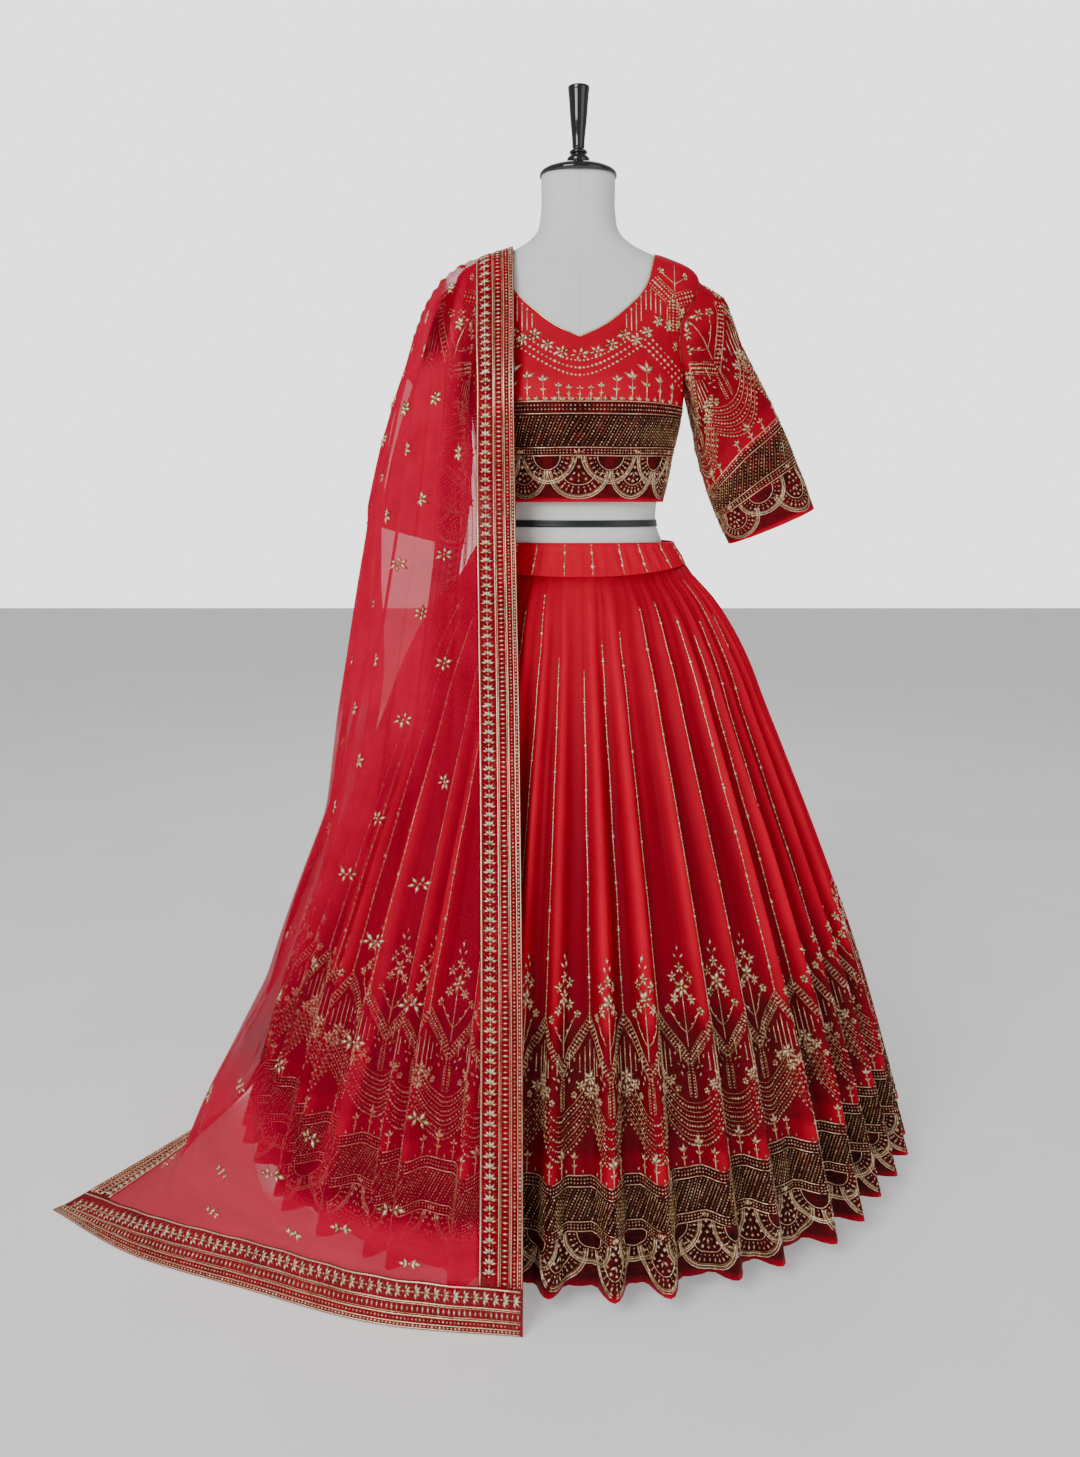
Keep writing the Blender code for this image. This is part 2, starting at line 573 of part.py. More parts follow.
def blouse_panels(parts):
    """The blouse's front and back, each mirrored from a half that runs out to the armhole."""
    shares = np.linspace(0, 1, 9)

    def half(neck, behind):
        def place(share, height):
            inner = neck_angle(neck, height)
            outer = math.pi / 2 - armhole_turn(height)
            angle = inner + (outer - inner) * share
            spot = blouse(math.pi - angle if behind else angle, np.float64(height))
            seam = SHOULDER_SEAM if height >= ARMHOLE_TOP else SIDE_SEAM
            spot[1] += seam if behind else -seam
            return spot

        return place

    front, back = half(FRONT_NECK, False), half(BACK_NECK, True)
    cloth("choli_front", parts, "red cloth", BLOUSE_WALL, shares, BLOUSE_ROWS, front, mirrored=True)
    cloth("choli_back", parts, "red cloth", BLOUSE_WALL, shares, BLOUSE_ROWS[::-1], back, mirrored=True)


def sleeves(parts):
    """Both sleeves, open tubes from the armhole to the cuff."""
    along = (0.0, 0.06, 0.14, 0.26, 0.42, 0.60, 0.80, 1.0)
    around = np.linspace(0, 2 * math.pi, AROUND_SLEEVE + 1)
    for name, row in SLEEVES.items():
        turn = around if row[0] < 0 else -around
        cloth(
            name, parts, "red cloth", BLOUSE_WALL, turn, along,
            lambda angle, share, name=name: sleeve(name, np.float64(angle), share),
            closed=True,
        )


def skirt(parts):
    """The waistband and the twelve pleated panels that hang from it."""
    def band_point(turn, share):
        low = waist_bottom(turn)
        height = low + (WAIST_TOP - low) * share
        spot = skirt_ring(np.float64(turn), np.float64(height), 1.0)
        gather = GATHER_DEPTH * (0.5 + 0.5 * math.cos(GATHERS * turn)) * math.sin(math.pi * share)
        spot[:2] *= 1 + gather / np.hypot(*spot[:2])
        return spot

    around = np.linspace(0, 2 * math.pi, 2 * GATHERS + 1)
    cloth("waistband", parts, "red cloth", WAISTBAND_WALL, around, (0.0, 0.5, 1.0), band_point, closed=True)
    for panel in range(PANELS):
        stations = panel_stations(panel)
        first, last = stations[0], stations[-1]

        def place(station, height, first=first, last=last):
            spot = skirt_panel_point(station, height)
            sideways = np.array([math.cos(station[0]), math.sin(station[0]), 0.0])
            if station is first:
                spot = spot + sideways * SEAM_GAP / 2
            if station is last:
                spot = spot - sideways * SEAM_GAP / 2
            return spot

        name = f"skirt_panel_{panel + 1:02d}"
        cloth(name, parts, "red cloth", SKIRT_WALL, stations, SKIRT_ROWS[::-1], place)


def dupatta(parts):
    """The net in three stretches, its long borders beside them and a border at each end."""
    sheet = Dupatta()
    gap, top_gap = NET_SEAM, SHOULDER_NET_SEAM
    stretches = {
        "back": (sheet.beside(BACK_END_ROW, gap), sheet.beside(SHOULDER_BACK_ROW, -top_gap), 7),
        "shoulder": (sheet.beside(SHOULDER_BACK_ROW, top_gap), sheet.beside(SHOULDER_FRONT_ROW, -top_gap), 5),
        "front": (sheet.beside(SHOULDER_FRONT_ROW, top_gap), sheet.beside(FRONT_END_ROW, -TRAIN_SEAM), 17),
    }
    net_columns = np.linspace(1 + NET_SIDE, 2 - NET_SIDE, 2 * NET_FOLDS + 1)
    inner_columns = np.linspace(0, 1 - BORDER_SIDE, 3)
    outer_columns = np.linspace(2 + BORDER_SIDE, 3, 3)
    for stretch, (first, last, count) in stretches.items():
        rows = np.linspace(first, last, count)
        for piece, columns, kind, wall in (
            ("net", net_columns, "red net", NET_WALL),
            ("inner_border", inner_columns, "gold border", BORDER_WALL),
            ("outer_border", outer_columns, "gold border", BORDER_WALL),
        ):
            cloth(f"dupatta_{stretch}_{piece}", parts, kind, wall, columns[::-1], rows[::-1], sheet.point)
    end_columns = np.concatenate([inner_columns, net_columns[::2], outer_columns])
    last_row = len(DUPATTA_SECTIONS) - 1
    ends = {
        "back": (0, sheet.beside(BACK_END_ROW, -gap)),
        "front": (sheet.beside(FRONT_END_ROW, gap), last_row),
    }
    for end, (first, last) in ends.items():
        rows = np.linspace(first, last, 3)
        name = f"dupatta_{end}_end_border"
        cloth(name, parts, "gold border", BORDER_WALL, end_columns[::-1], rows[::-1], sheet.point)


def build():
    """Builds every piece of the dressed form."""
    parts = start_scene()
    form_body(parts)
    form_fittings(parts)
    blouse_panels(parts)
    sleeves(parts)
    skirt(parts)
    dupatta(parts)


build()
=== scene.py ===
"""The looks of the lehenga choli on its dress form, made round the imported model.

Metres, +Z up, the front faces -Y. The forms repeat the sizes that the solids were
made from; every cloth is a fine thin wall, and what is sewn on it is real geometry.
"""

import math

import bmesh
import bpy
import numpy as np
from mathutils import Matrix


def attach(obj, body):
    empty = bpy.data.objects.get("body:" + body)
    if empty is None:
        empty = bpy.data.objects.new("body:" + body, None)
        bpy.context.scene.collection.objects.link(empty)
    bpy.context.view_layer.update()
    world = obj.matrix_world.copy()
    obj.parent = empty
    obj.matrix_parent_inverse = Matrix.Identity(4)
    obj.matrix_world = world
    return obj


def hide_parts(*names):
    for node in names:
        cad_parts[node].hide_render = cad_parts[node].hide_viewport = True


bl_info = {
    "name": "Lehenga choli on dress form",
    "version": (1, 0, 0),
    "blender": (4, 5, 0),
    "location": "3D View > Sidebar > Lehenga",
    "description": "Builds an embroidered lehenga choli with its dupatta on a dress form",
    "category": "Add Mesh",
}

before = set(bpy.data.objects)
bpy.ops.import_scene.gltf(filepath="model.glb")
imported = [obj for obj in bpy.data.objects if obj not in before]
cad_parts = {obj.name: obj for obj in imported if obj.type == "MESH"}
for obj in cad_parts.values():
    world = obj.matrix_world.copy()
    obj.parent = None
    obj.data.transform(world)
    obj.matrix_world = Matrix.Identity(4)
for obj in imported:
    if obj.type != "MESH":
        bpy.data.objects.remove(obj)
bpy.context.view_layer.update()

# Sizes shared with the solids
BLOUSE_BOTTOM = 0.999
NECK_POINT_HEIGHT = 1.342
ARMHOLE_TOP = 1.312
ARMHOLE_BOTTOM = 1.165
ARMHOLE_TURN = math.radians(30)
ARMHOLE_MIDDLE = (ARMHOLE_TOP + ARMHOLE_BOTTOM) / 2
ARMHOLE_HALF = (ARMHOLE_TOP - ARMHOLE_BOTTOM) / 2
SLEEVE_HEAD = 0.017
SLEEVE_FULLNESS = 0.014
UNDERARM_EASE = 0.008
PLEATS = 48
PANELS = 12
WAIST_TOP = 0.940
WAIST_BOTTOM = 0.893
WAIST_SIDE_RISE = 0.014
HEM_HEIGHT = 0.030
PLEAT_DEPTH = 0.036
BORDER_WIDTH = 0.056
NET_FOLDS = 9
SQUARENESS = 2.3
FORM_BOTTOM = 0.70
NECK_TOP = 1.455
CAP_RADIUS = 0.0555
CAP_HEIGHT = 0.016
FINIAL_HEIGHT = 0.104
SEAM_GAP = 0.0003
TAPE_HEIGHT = 0.967
TAPE_WIDTH = 0.010
TAPE_EASE = 0.0018

FORM_COLUMNS = ("height", "half_width", "front", "back", "blouse_ease")
FORM_SECTIONS = (
    (0.700, 0.150, 0.100, 0.110, 0.004),
    (0.760, 0.163, 0.108, 0.124, 0.004),
    (0.820, 0.163, 0.107, 0.124, 0.004),
    (0.880, 0.149, 0.101, 0.113, 0.004),
    (0.940, 0.130, 0.0925, 0.0965, 0.006),
    (0.967, 0.1205, 0.087, 0.089, 0.007),
    (1.000, 0.1215, 0.087, 0.086, 0.010),
    (1.060, 0.133, 0.098, 0.090, 0.010),
    (1.130, 0.1495, 0.110, 0.098, 0.007),
    (1.200, 0.1585, 0.104, 0.102, 0.0026),
    (1.250, 0.166, 0.090, 0.096, 0.0021),
    (1.285, 0.177, 0.076, 0.085, 0.0027),
    (1.305, 0.176, 0.069, 0.077, 0.0034),
    (1.327, 0.163, 0.061, 0.068, 0.0034),
    (1.346, 0.115, 0.053, 0.060, 0.0036),
    (1.360, 0.083, 0.051, 0.056, 0.0028),
    (1.378, 0.061, 0.050, 0.054, 0.0020),
    (1.400, 0.0545, 0.050, 0.0535, 0.0020),
    (1.455, 0.0530, 0.049, 0.0525, 0.0020),
)
# The bust: height, how tall, how far from the middle, how wide, how far it stands out,
# and how far the blouse bridges the hollow between its sides.
BUST = (1.138, 0.052, 0.070, 0.050, 0.024, 0.013)
# The necklines, each row (height, half width).
FRONT_NECK = (
    (1.223, 0.000),
    (1.238, 0.032),
    (1.264, 0.0667),
    (1.2835, 0.0870),
    (1.300, 0.0975),
    (1.325, 0.1055),
    (1.345, 0.1120),
)
BACK_NECK = (
    (1.205, 0.000),
    (1.208, 0.030),
    (1.222, 0.062),
    (1.250, 0.086),
    (1.285, 0.1000),
    (1.320, 0.1075),
    (1.345, 0.1120),
)
# The sleeves: side, the cuff's middle (x, y, z), its outer edge (x, z), its half depth.
SLEEVES = {
    "sleeve_left": (-1, -0.236, -0.016, 0.947, -0.300, 0.9635, 0.048),
    "sleeve_right": (1, 0.294, -0.016, 0.9625, 0.357, 0.989, 0.050),
}
SKIRT_COLUMNS = ("height", "half_width", "front", "back", "pleat_share")
SKIRT_SECTIONS = (
    (0.940, 0.146, 0.0948, 0.0988, 0.00),
    (0.893, 0.177, 0.1235, 0.1275, 0.04),
    (0.860, 0.209, 0.160, 0.163, 0.12),
    (0.811, 0.243, 0.196, 0.198, 0.22),
    (0.756, 0.272, 0.231, 0.232, 0.32),
    (0.700, 0.295, 0.263, 0.263, 0.42),
    (0.628, 0.326, 0.300, 0.300, 0.52),
    (0.464, 0.395, 0.378, 0.378, 0.70),
    (0.293, 0.461, 0.447, 0.447, 0.86),
    (0.030, 0.544, 0.530, 0.530, 1.00),
)
FRONT_PLEAT_SHIFTS = (0.03, 0.03, 0.39, 0.37, 0.69, 0.69, 0.69, 0.61, 0.53, 0.37, 0.17, 0.0)
# One pleat from valley to valley, each (place, share of its depth).
PLEAT_PROFILE = (
    (-0.5, 0.0), (-0.27, 0.03), (-0.13, 0.74), (0.0, 1.0), (0.13, 0.74), (0.27, 0.03), (0.5, 0.0),
)
# The dupatta row by row from its back end over the shoulder to its front end: five
# points (x, y, z) from its inner to its outer edge, and the depth of its folds.
DUPATTA_SECTIONS = (
    ((0.012, 0.400, 0.480), (-0.085, 0.402, 0.468), (-0.18, 0.372, 0.455),
     (-0.27, 0.318, 0.445), (-0.335, 0.262, 0.430), 0.012),
    ((0.008, 0.376, 0.535), (-0.082, 0.378, 0.523), (-0.17, 0.352, 0.510),
     (-0.255, 0.302, 0.500), (-0.320, 0.244, 0.485), 0.012),
    ((-0.010, 0.290, 0.700), (-0.080, 0.290, 0.700), (-0.150, 0.272, 0.690),
     (-0.220, 0.240, 0.670), (-0.280, 0.195, 0.640), 0.011),
    ((-0.040, 0.150, 0.900), (-0.092, 0.152, 0.900), (-0.140, 0.146, 0.895),
     (-0.188, 0.130, 0.885), (-0.235, 0.110, 0.860), 0.008),
    ((-0.060, 0.116, 1.060), (-0.100, 0.118, 1.055), (-0.140, 0.115, 1.045),
     (-0.180, 0.105, 1.025), (-0.222, 0.092, 0.990), 0.006),
    ((-0.085, 0.116, 1.235), (-0.118, 0.118, 1.233), (-0.155, 0.114, 1.220),
     (-0.192, 0.102, 1.190), (-0.228, 0.088, 1.125), 0.004),
    ((-0.093, 0.063, 1.3402), (-0.136, 0.059, 1.3226), (-0.180, 0.057, 1.303),
     (-0.220, 0.050, 1.250), (-0.248, 0.054, 1.170), 0.002),
    ((-0.094, 0.000, 1.360), (-0.138, 0.000, 1.3455), (-0.184, 0.000, 1.326),
     (-0.224, 0.000, 1.276), (-0.258, 0.028, 1.180), 0.002),
    ((-0.093, -0.056, 1.341), (-0.136, -0.054, 1.328), (-0.180, -0.051, 1.303),
     (-0.224, -0.042, 1.248), (-0.266, 0.005, 1.152), 0.002),
    ((-0.091, -0.094, 1.262), (-0.136, -0.090, 1.250), (-0.186, -0.084, 1.232),
     (-0.240, -0.060, 1.185), (-0.288, 0.020, 1.090), 0.004),
    ((-0.0905, -0.142, 1.150), (-0.142, -0.122, 1.148), (-0.202, -0.100, 1.138),
     (-0.262, -0.062, 1.105), (-0.300, 0.045, 1.020), 0.006),
    ((-0.0885, -0.150, 0.950), (-0.160, -0.140, 0.950), (-0.245, -0.115, 0.945),
     (-0.306, -0.045, 0.930), (-0.312, 0.085, 0.890), 0.009),
    ((-0.082, -0.272, 0.700), (-0.190, -0.246, 0.700), (-0.290, -0.176, 0.700),
     (-0.348, -0.035, 0.700), (-0.322, 0.125, 0.680), 0.013),
    ((-0.077, -0.415, 0.400), (-0.230, -0.366, 0.400), (-0.360, -0.242, 0.400),
     (-0.405, -0.050, 0.400), (-0.400, 0.180, 0.380), 0.015),
    ((-0.0755, -0.505, 0.160), (-0.262, -0.456, 0.155), (-0.425, -0.335, 0.150),
     (-0.548, -0.110, 0.140), (-0.480, 0.205, 0.085), 0.010),
    ((-0.0756, -0.523, 0.095), (-0.264, -0.480, 0.085), (-0.430, -0.385, 0.070),
     (-0.580, -0.250, 0.050), (-0.575, -0.005, 0.0012), 0.004),
    ((-0.0758, -0.534, 0.055), (-0.262, -0.497, 0.050), (-0.425, -0.424, 0.042),
     (-0.585, -0.350, 0.030), (-0.722, -0.250, 0.0012), 0.002),
    ((-0.076, -0.547, 0.0012), (-0.260, -0.524, 0.0012), (-0.440, -0.460, 0.0012),
     (-0.610, -0.392, 0.0012), (-0.755, -0.294, 0.0012), 0.0),
)


def smooth_through(keys, values, at):
    """A smooth curve through a table's rows, read at given keys (the keys rise)."""
    keys, values = np.asarray(keys, float), np.asarray(values, float)
    at = np.clip(at, keys[0], keys[-1])
    step = np.diff(keys)
    rise = np.diff(values, axis=0) / step.reshape((-1,) + (1,) * (values.ndim - 1))
    slope = np.empty_like(values)
    slope[1:-1] = (rise[1:] + rise[:-1]) / 2
    slope[0], slope[-1] = rise[0], rise[-1]
    cell = np.clip(np.searchsorted(keys, at, side="right") - 1, 0, len(keys) - 2)
    share = (at - keys[cell]) / step[cell]
    tail = (1,) * (values.ndim - 1)
    share = np.reshape(share, np.shape(at) + tail)
    width = np.reshape(step[cell], np.shape(at) + tail)
    start = (1 + 2 * share) * (1 - share) ** 2 * values[cell]
    end = share**2 * (3 - 2 * share) * values[cell + 1]
    start_slope = share * (1 - share) ** 2 * width * slope[cell]
    end_slope = share**2 * (share - 1) * width * slope[cell + 1]
    return start + end + start_slope + end_slope


def column(table, names, name, height):
    """One column of a table of sections, read smoothly at a height."""
    rows = np.array(sorted(table), float)
    return smooth_through(rows[:, 0], rows[:, names.index(name)], height)


def ring(angle, half_width, front, back, squareness):
    """A point on a rounded ring; the angle runs from the front towards +X."""
    side, ahead = np.sin(angle), np.cos(angle)
    power = 2 / squareness
    x = half_width * np.sign(side) * np.abs(side) ** power
    y = -np.where(ahead > 0, front, back) * np.sign(ahead) * np.abs(ahead) ** power
    return x, y


def torso(angle, height, bridge=0.0):
    """A point on the dress form, or on cloth that bridges the hollow between the bust's sides."""
    half_width, front, back = (
        column(FORM_SECTIONS, FORM_COLUMNS, name, height) for name in FORM_COLUMNS[1:4]
    )
    x, y = ring(angle, half_width, front, back, SQUARENESS)
    middle, tall, spread, wide, rise, _ = BUST
    level = np.exp(-(((height - middle) / tall) ** 2))
    cups = np.exp(-(((x - spread) / wide) ** 2)) + np.exp(-(((x + spread) / wide) ** 2))
    between = bridge * np.exp(-((x / (spread * 0.7)) ** 2))
    y = y - np.clip(np.cos(angle) * 2, 0, 1) * level * (rise * cups + between)
    return np.stack([x, y, height + 0 * x], -1)


def out_from_torso(angle, height, ease, bridge=0.0):
    """A point of a cloth that lies a distance out from the dress form's surface."""
    spot = torso(angle, height, bridge)
    turn = torso(angle + 0.01, height, bridge) - torso(angle - 0.01, height, bridge)
    climb = torso(angle, height + 0.003, bridge) - torso(angle, height - 0.003, bridge)
    normal = np.cross(turn, climb)
    return spot + np.asarray(ease)[..., None] * normal / np.linalg.norm(normal, axis=-1, keepdims=True)


def blouse(angle, height):
    """A point on the outside of the blouse."""
    ease = column(FORM_SECTIONS, FORM_COLUMNS, "blouse_ease", height)
    return out_from_torso(angle, height, ease, BUST[5])


def armhole_turn(height):
    """How far the armhole's edge lies in front of or behind the side seam, as an angle."""
    share = (height - ARMHOLE_MIDDLE) / ARMHOLE_HALF
    return ARMHOLE_TURN * np.sqrt(np.clip(1 - share**2, 0, 1))


def neck_angle(table, height):
    """The ring angle at which the neckline crosses a height, measured from the centre."""
    rows = np.array(table)
    ease = column(FORM_SECTIONS, FORM_COLUMNS, "blouse_ease", height)
    half_width = column(FORM_SECTIONS, FORM_COLUMNS, "half_width", height) + ease
    share = np.minimum(smooth_through(rows[:, 0], rows[:, 1], height) / half_width, 0.985)
    return np.where(height <= rows[0, 0], 0.0, np.arcsin(np.clip(share, 0, 1) ** (SQUARENESS / 2)))


def sleeve(name, around, along):
    """A point on the outside of a sleeve: around from the top by the front, along to the cuff."""
    side, cuff_x, cuff_y, cuff_z, outer_x, outer_z, half_depth = SLEEVES[name]
    height = ARMHOLE_MIDDLE + ARMHOLE_HALF * np.cos(around)
    start = blouse(math.pi / 2 - ARMHOLE_TURN * np.sin(around), height)
    start[..., 0] *= side
    under = np.sqrt(np.clip(-np.cos(around), 0, 1))
    centre = np.array([cuff_x, cuff_y, cuff_z])
    outward = np.array([outer_x - cuff_x, 0.0, outer_z - cuff_z])
    ahead = np.array([0.0, -half_depth, 0.0])
    cuff = centre + np.cos(around)[..., None] * outward + np.sin(around)[..., None] * ahead
    along = np.asarray(along, float)[..., None]
    head = SLEEVE_HEAD * np.exp(-(((along - 0.10) / 0.14) ** 2)) * np.clip(along / 0.11, 0, 1)
    head = head * np.clip(np.cos(around), 0, 1)[..., None]
    head = head + SLEEVE_FULLNESS * np.sin(math.pi * along) * np.cos(around)[..., None]
    lift = outward + np.array([0.0, 0.0, 0.4 * np.linalg.norm(outward)])
    lift = lift / np.linalg.norm(lift)
    away = np.zeros(3) + [side, 0.0, 0.0]
    ease = UNDERARM_EASE * under[..., None] * np.clip(along / 0.06, 0, 1) * (1 - along)
    return start * (1 - along) + cuff * along + head * lift + ease * away


def pleat_angle(number):
    """The ring angle of each pleat's ridge: even steps, a little uneven as hung cloth is."""
    number = np.asarray(number)
    place = number % PLEATS
    wander = 0.16 * np.sin(2.399 * place) + 0.10 * np.sin(4.1 * place + 1.0)
    front = np.array(FRONT_PLEAT_SHIFTS)
    wander = np.where(place < len(front), front[np.minimum(place, len(front) - 1)], wander)
    return 2 * math.pi * (number + 0.5 + wander) / PLEATS


def pleat_height(number):
    """How far a pleat's ridge stands out, as a share of the depth at its height."""
    return 0.86 + 0.14 * np.sin(1.7 * (number % PLEATS) + 0.6)


def skirt_ring(angle, height, share):
    """A point of the skirt; share is 1 on a pleat's ridge and 0 in the valleys."""
    half_width, front, back, depth = (
        column(SKIRT_SECTIONS, SKIRT_COLUMNS, name, height) for name in SKIRT_COLUMNS[1:]
    )
    inset = PLEAT_DEPTH * depth * (1 - share)
    square = 2.0 + (SQUARENESS - 2.0) * np.clip((height - 0.80) / (WAIST_TOP - 0.80), 0, 1)
    x, y = ring(angle, half_width - inset, front - inset, back - inset, square)
    return np.stack([x, y, height + 0 * x], -1)


def waist_bottom(angle):
    """Height of the seam between the waistband and the skirt; it rises at the sides."""
    return WAIST_BOTTOM + WAIST_SIDE_RISE * np.sin(angle) ** 2


# Soft creases of the skirt, each (pleat place, top height, bottom height, half width
# in pleats, depth): troughs where depth is below 0 and ridges where it is above.
SKIRT_CREASES = (
    (0.10, 0.86, 0.42, 0.10, 0.0030), (0.97, 0.80, 0.20, 0.12, -0.0040), (1.92, 0.88, 0.50, 0.09, 0.0028),
    (2.45, 0.70, 0.12, 0.14, 0.0040), (3.40, 0.84, 0.30, 0.11, -0.0032), (4.75, 0.88, 0.56, 0.10, 0.0030),
    (5.50, 0.62, 0.10, 0.14, 0.0042), (6.55, 0.86, 0.36, 0.12, -0.0036), (7.40, 0.80, 0.46, 0.10, 0.0030),
    (8.60, 0.70, 0.14, 0.13, 0.0040), (9.10, 0.88, 0.40, 0.10, -0.0030), (10.6, 0.78, 0.22, 0.12, 0.0034),
    (12.1, 0.86, 0.44, 0.12, -0.0034), (13.9, 0.70, 0.16, 0.13, 0.0040), (16.0, 0.84, 0.36, 0.11, 0.0032),
    (17.1, 0.80, 0.12, 0.12, -0.0036), (19.0, 0.86, 0.40, 0.10, 0.0030), (21.1, 0.66, 0.12, 0.14, 0.0042),
    (23.0, 0.84, 0.30, 0.11, -0.0032), (24.9, 0.88, 0.50, 0.10, 0.0030), (27.0, 0.72, 0.14, 0.13, 0.0040),
    (29.1, 0.84, 0.34, 0.12, -0.0036), (31.0, 0.80, 0.42, 0.10, 0.0032), (33.0, 0.68, 0.12, 0.13, 0.0040),
    (35.1, 0.86, 0.38, 0.11, -0.0032), (37.0, 0.76, 0.20, 0.12, 0.0036), (39.0, 0.86, 0.48, 0.10, 0.0030),
    (41.0, 0.70, 0.14, 0.13, 0.0040), (43.1, 0.84, 0.32, 0.12, -0.0036), (45.0, 0.80, 0.44, 0.10, 0.0030),
    (46.9, 0.72, 0.16, 0.12, 0.0038),
)


def skirt_point(turns, height):
    """A point of the pleated skirt; turns counts pleats, whole in the valleys and half on the ridges."""
    numbers = np.arange(-PLEATS // 2 - 2, PLEATS // 2 + 3)
    ridges = pleat_angle(numbers)
    gaps = (ridges[2:] - ridges[:-2]) / 2
    numbers, ridges = numbers[1:-1], ridges[1:-1]
    places = np.concatenate([[n + 0.5 + p for p in (-0.25, 0.0, 0.25)] for n in numbers])
    angles = np.concatenate([[a + p * g for p in (-0.25, 0.0, 0.25)] for a, g in zip(ridges, gaps)])
    angle = np.interp(turns, places, angles)
    number = np.floor(turns).astype(int)
    index = number - numbers[0]
    place = np.clip((angle - ridges[index]) / gaps[index], -0.5, 0.5)
    profile = np.array(PLEAT_PROFILE)
    share = smooth_through(profile[:, 0], profile[:, 1], place) * pleat_height(number)
    low, seam = HEM_HEIGHT, waist_bottom(angle) - 0.0008
    level = low + (height - low) * (seam - low) / (WAIST_BOTTOM - low)
    spot = skirt_ring(angle, level, share)
    below = WAIST_BOTTOM - height
    gather = np.exp(-((below / 0.085) ** 2)) * np.clip(below / 0.012, 0, 1)
    fine = np.sin(turns * 2 * math.pi * 3 + 0.8 * np.sin(turns * 1.9))
    fine = fine + 0.6 * np.sin(turns * 2 * math.pi * 2 + 1.3)
    out = -0.0006 - 0.0014 * gather * (1 - fine / 1.6)
    for middle, top, bottom, wide, depth in SKIRT_CREASES:
        apart = (turns - middle + PLEATS / 2) % PLEATS - PLEATS / 2
        across = np.exp(-((apart / wide) ** 2))
        along = np.clip((top - height) / 0.08, 0, 1) * np.clip((height - bottom) / 0.10, 0, 1)
        out = out + depth * across * along**2 * (3 - 2 * along)
    radius = np.hypot(spot[..., 0], spot[..., 1])
    spot[..., :2] *= (1 + out / radius)[..., None]
    return spot


def outline_of_supports(height):
    """Points round what the dupatta hangs against at a height: blouse, sleeve and skirt."""
    angles = np.linspace(0, 2 * math.pi, 73)
    found = []
    if height >= WAIST_BOTTOM:
        found.append(blouse(angles, np.full_like(angles, height)))
    if height <= WAIST_TOP:
        found.append(skirt_ring(angles, np.full_like(angles, height), 1.0))
    along = np.linspace(0, 1, 41)
    grid = sleeve("sleeve_left", angles[None, :] + 0 * along[:, None], along[:, None] + 0 * angles)
    near = np.abs(grid[..., 2] - height) < 0.035
    if near.any():
        found.append(grid[near])
    return np.concatenate(found)[:, :2]


def clearance_table(heights, angles):
    """How far out taut cloth lies round the supports, for each height and angle."""
    ways = np.radians(np.arange(0, 360, 4.0))
    rows = []
    for height in heights:
        points = outline_of_supports(height)
        reach = (np.outer(-np.sin(ways), points[:, 0]) + np.outer(-np.cos(ways), points[:, 1])).max(1)
        lean = np.cos(ways[None, :] - angles[:, None])
        rows.append(np.where(lean > 0.05, reach[None, :] / np.maximum(lean, 0.05), 9.0).min(1))
    return np.array(rows)


# The dupatta's larger creases, each (place across at its first row, place across at
# its last row, first row, last row, half width across, how far it stands out).
NET_CREASES = (
    (1.30, 1.42, 7.6, 12.4, 0.040, 0.0075),
    (1.42, 1.56, 7.8, 12.8, 0.030, -0.0050),
    (1.62, 1.50, 8.2, 11.6, 0.035, 0.0060),
    (1.80, 1.72, 8.6, 12.6, 0.030, 0.0055),
    (1.16, 1.22, 9.4, 13.6, 0.030, 0.0045),
    (1.58, 1.78, 12.2, 14.8, 0.030, -0.0060),
    (1.45, 1.36, 12.6, 15.4, 0.028, 0.0060),
    (1.86, 1.92, 11.2, 14.4, 0.030, 0.0060),
    (1.35, 1.45, 1.0, 5.6, 0.040, 0.0070),
    (1.62, 1.55, 1.2, 6.0, 0.035, -0.0055),
    (1.80, 1.84, 1.0, 5.2, 0.035, 0.0060),
)


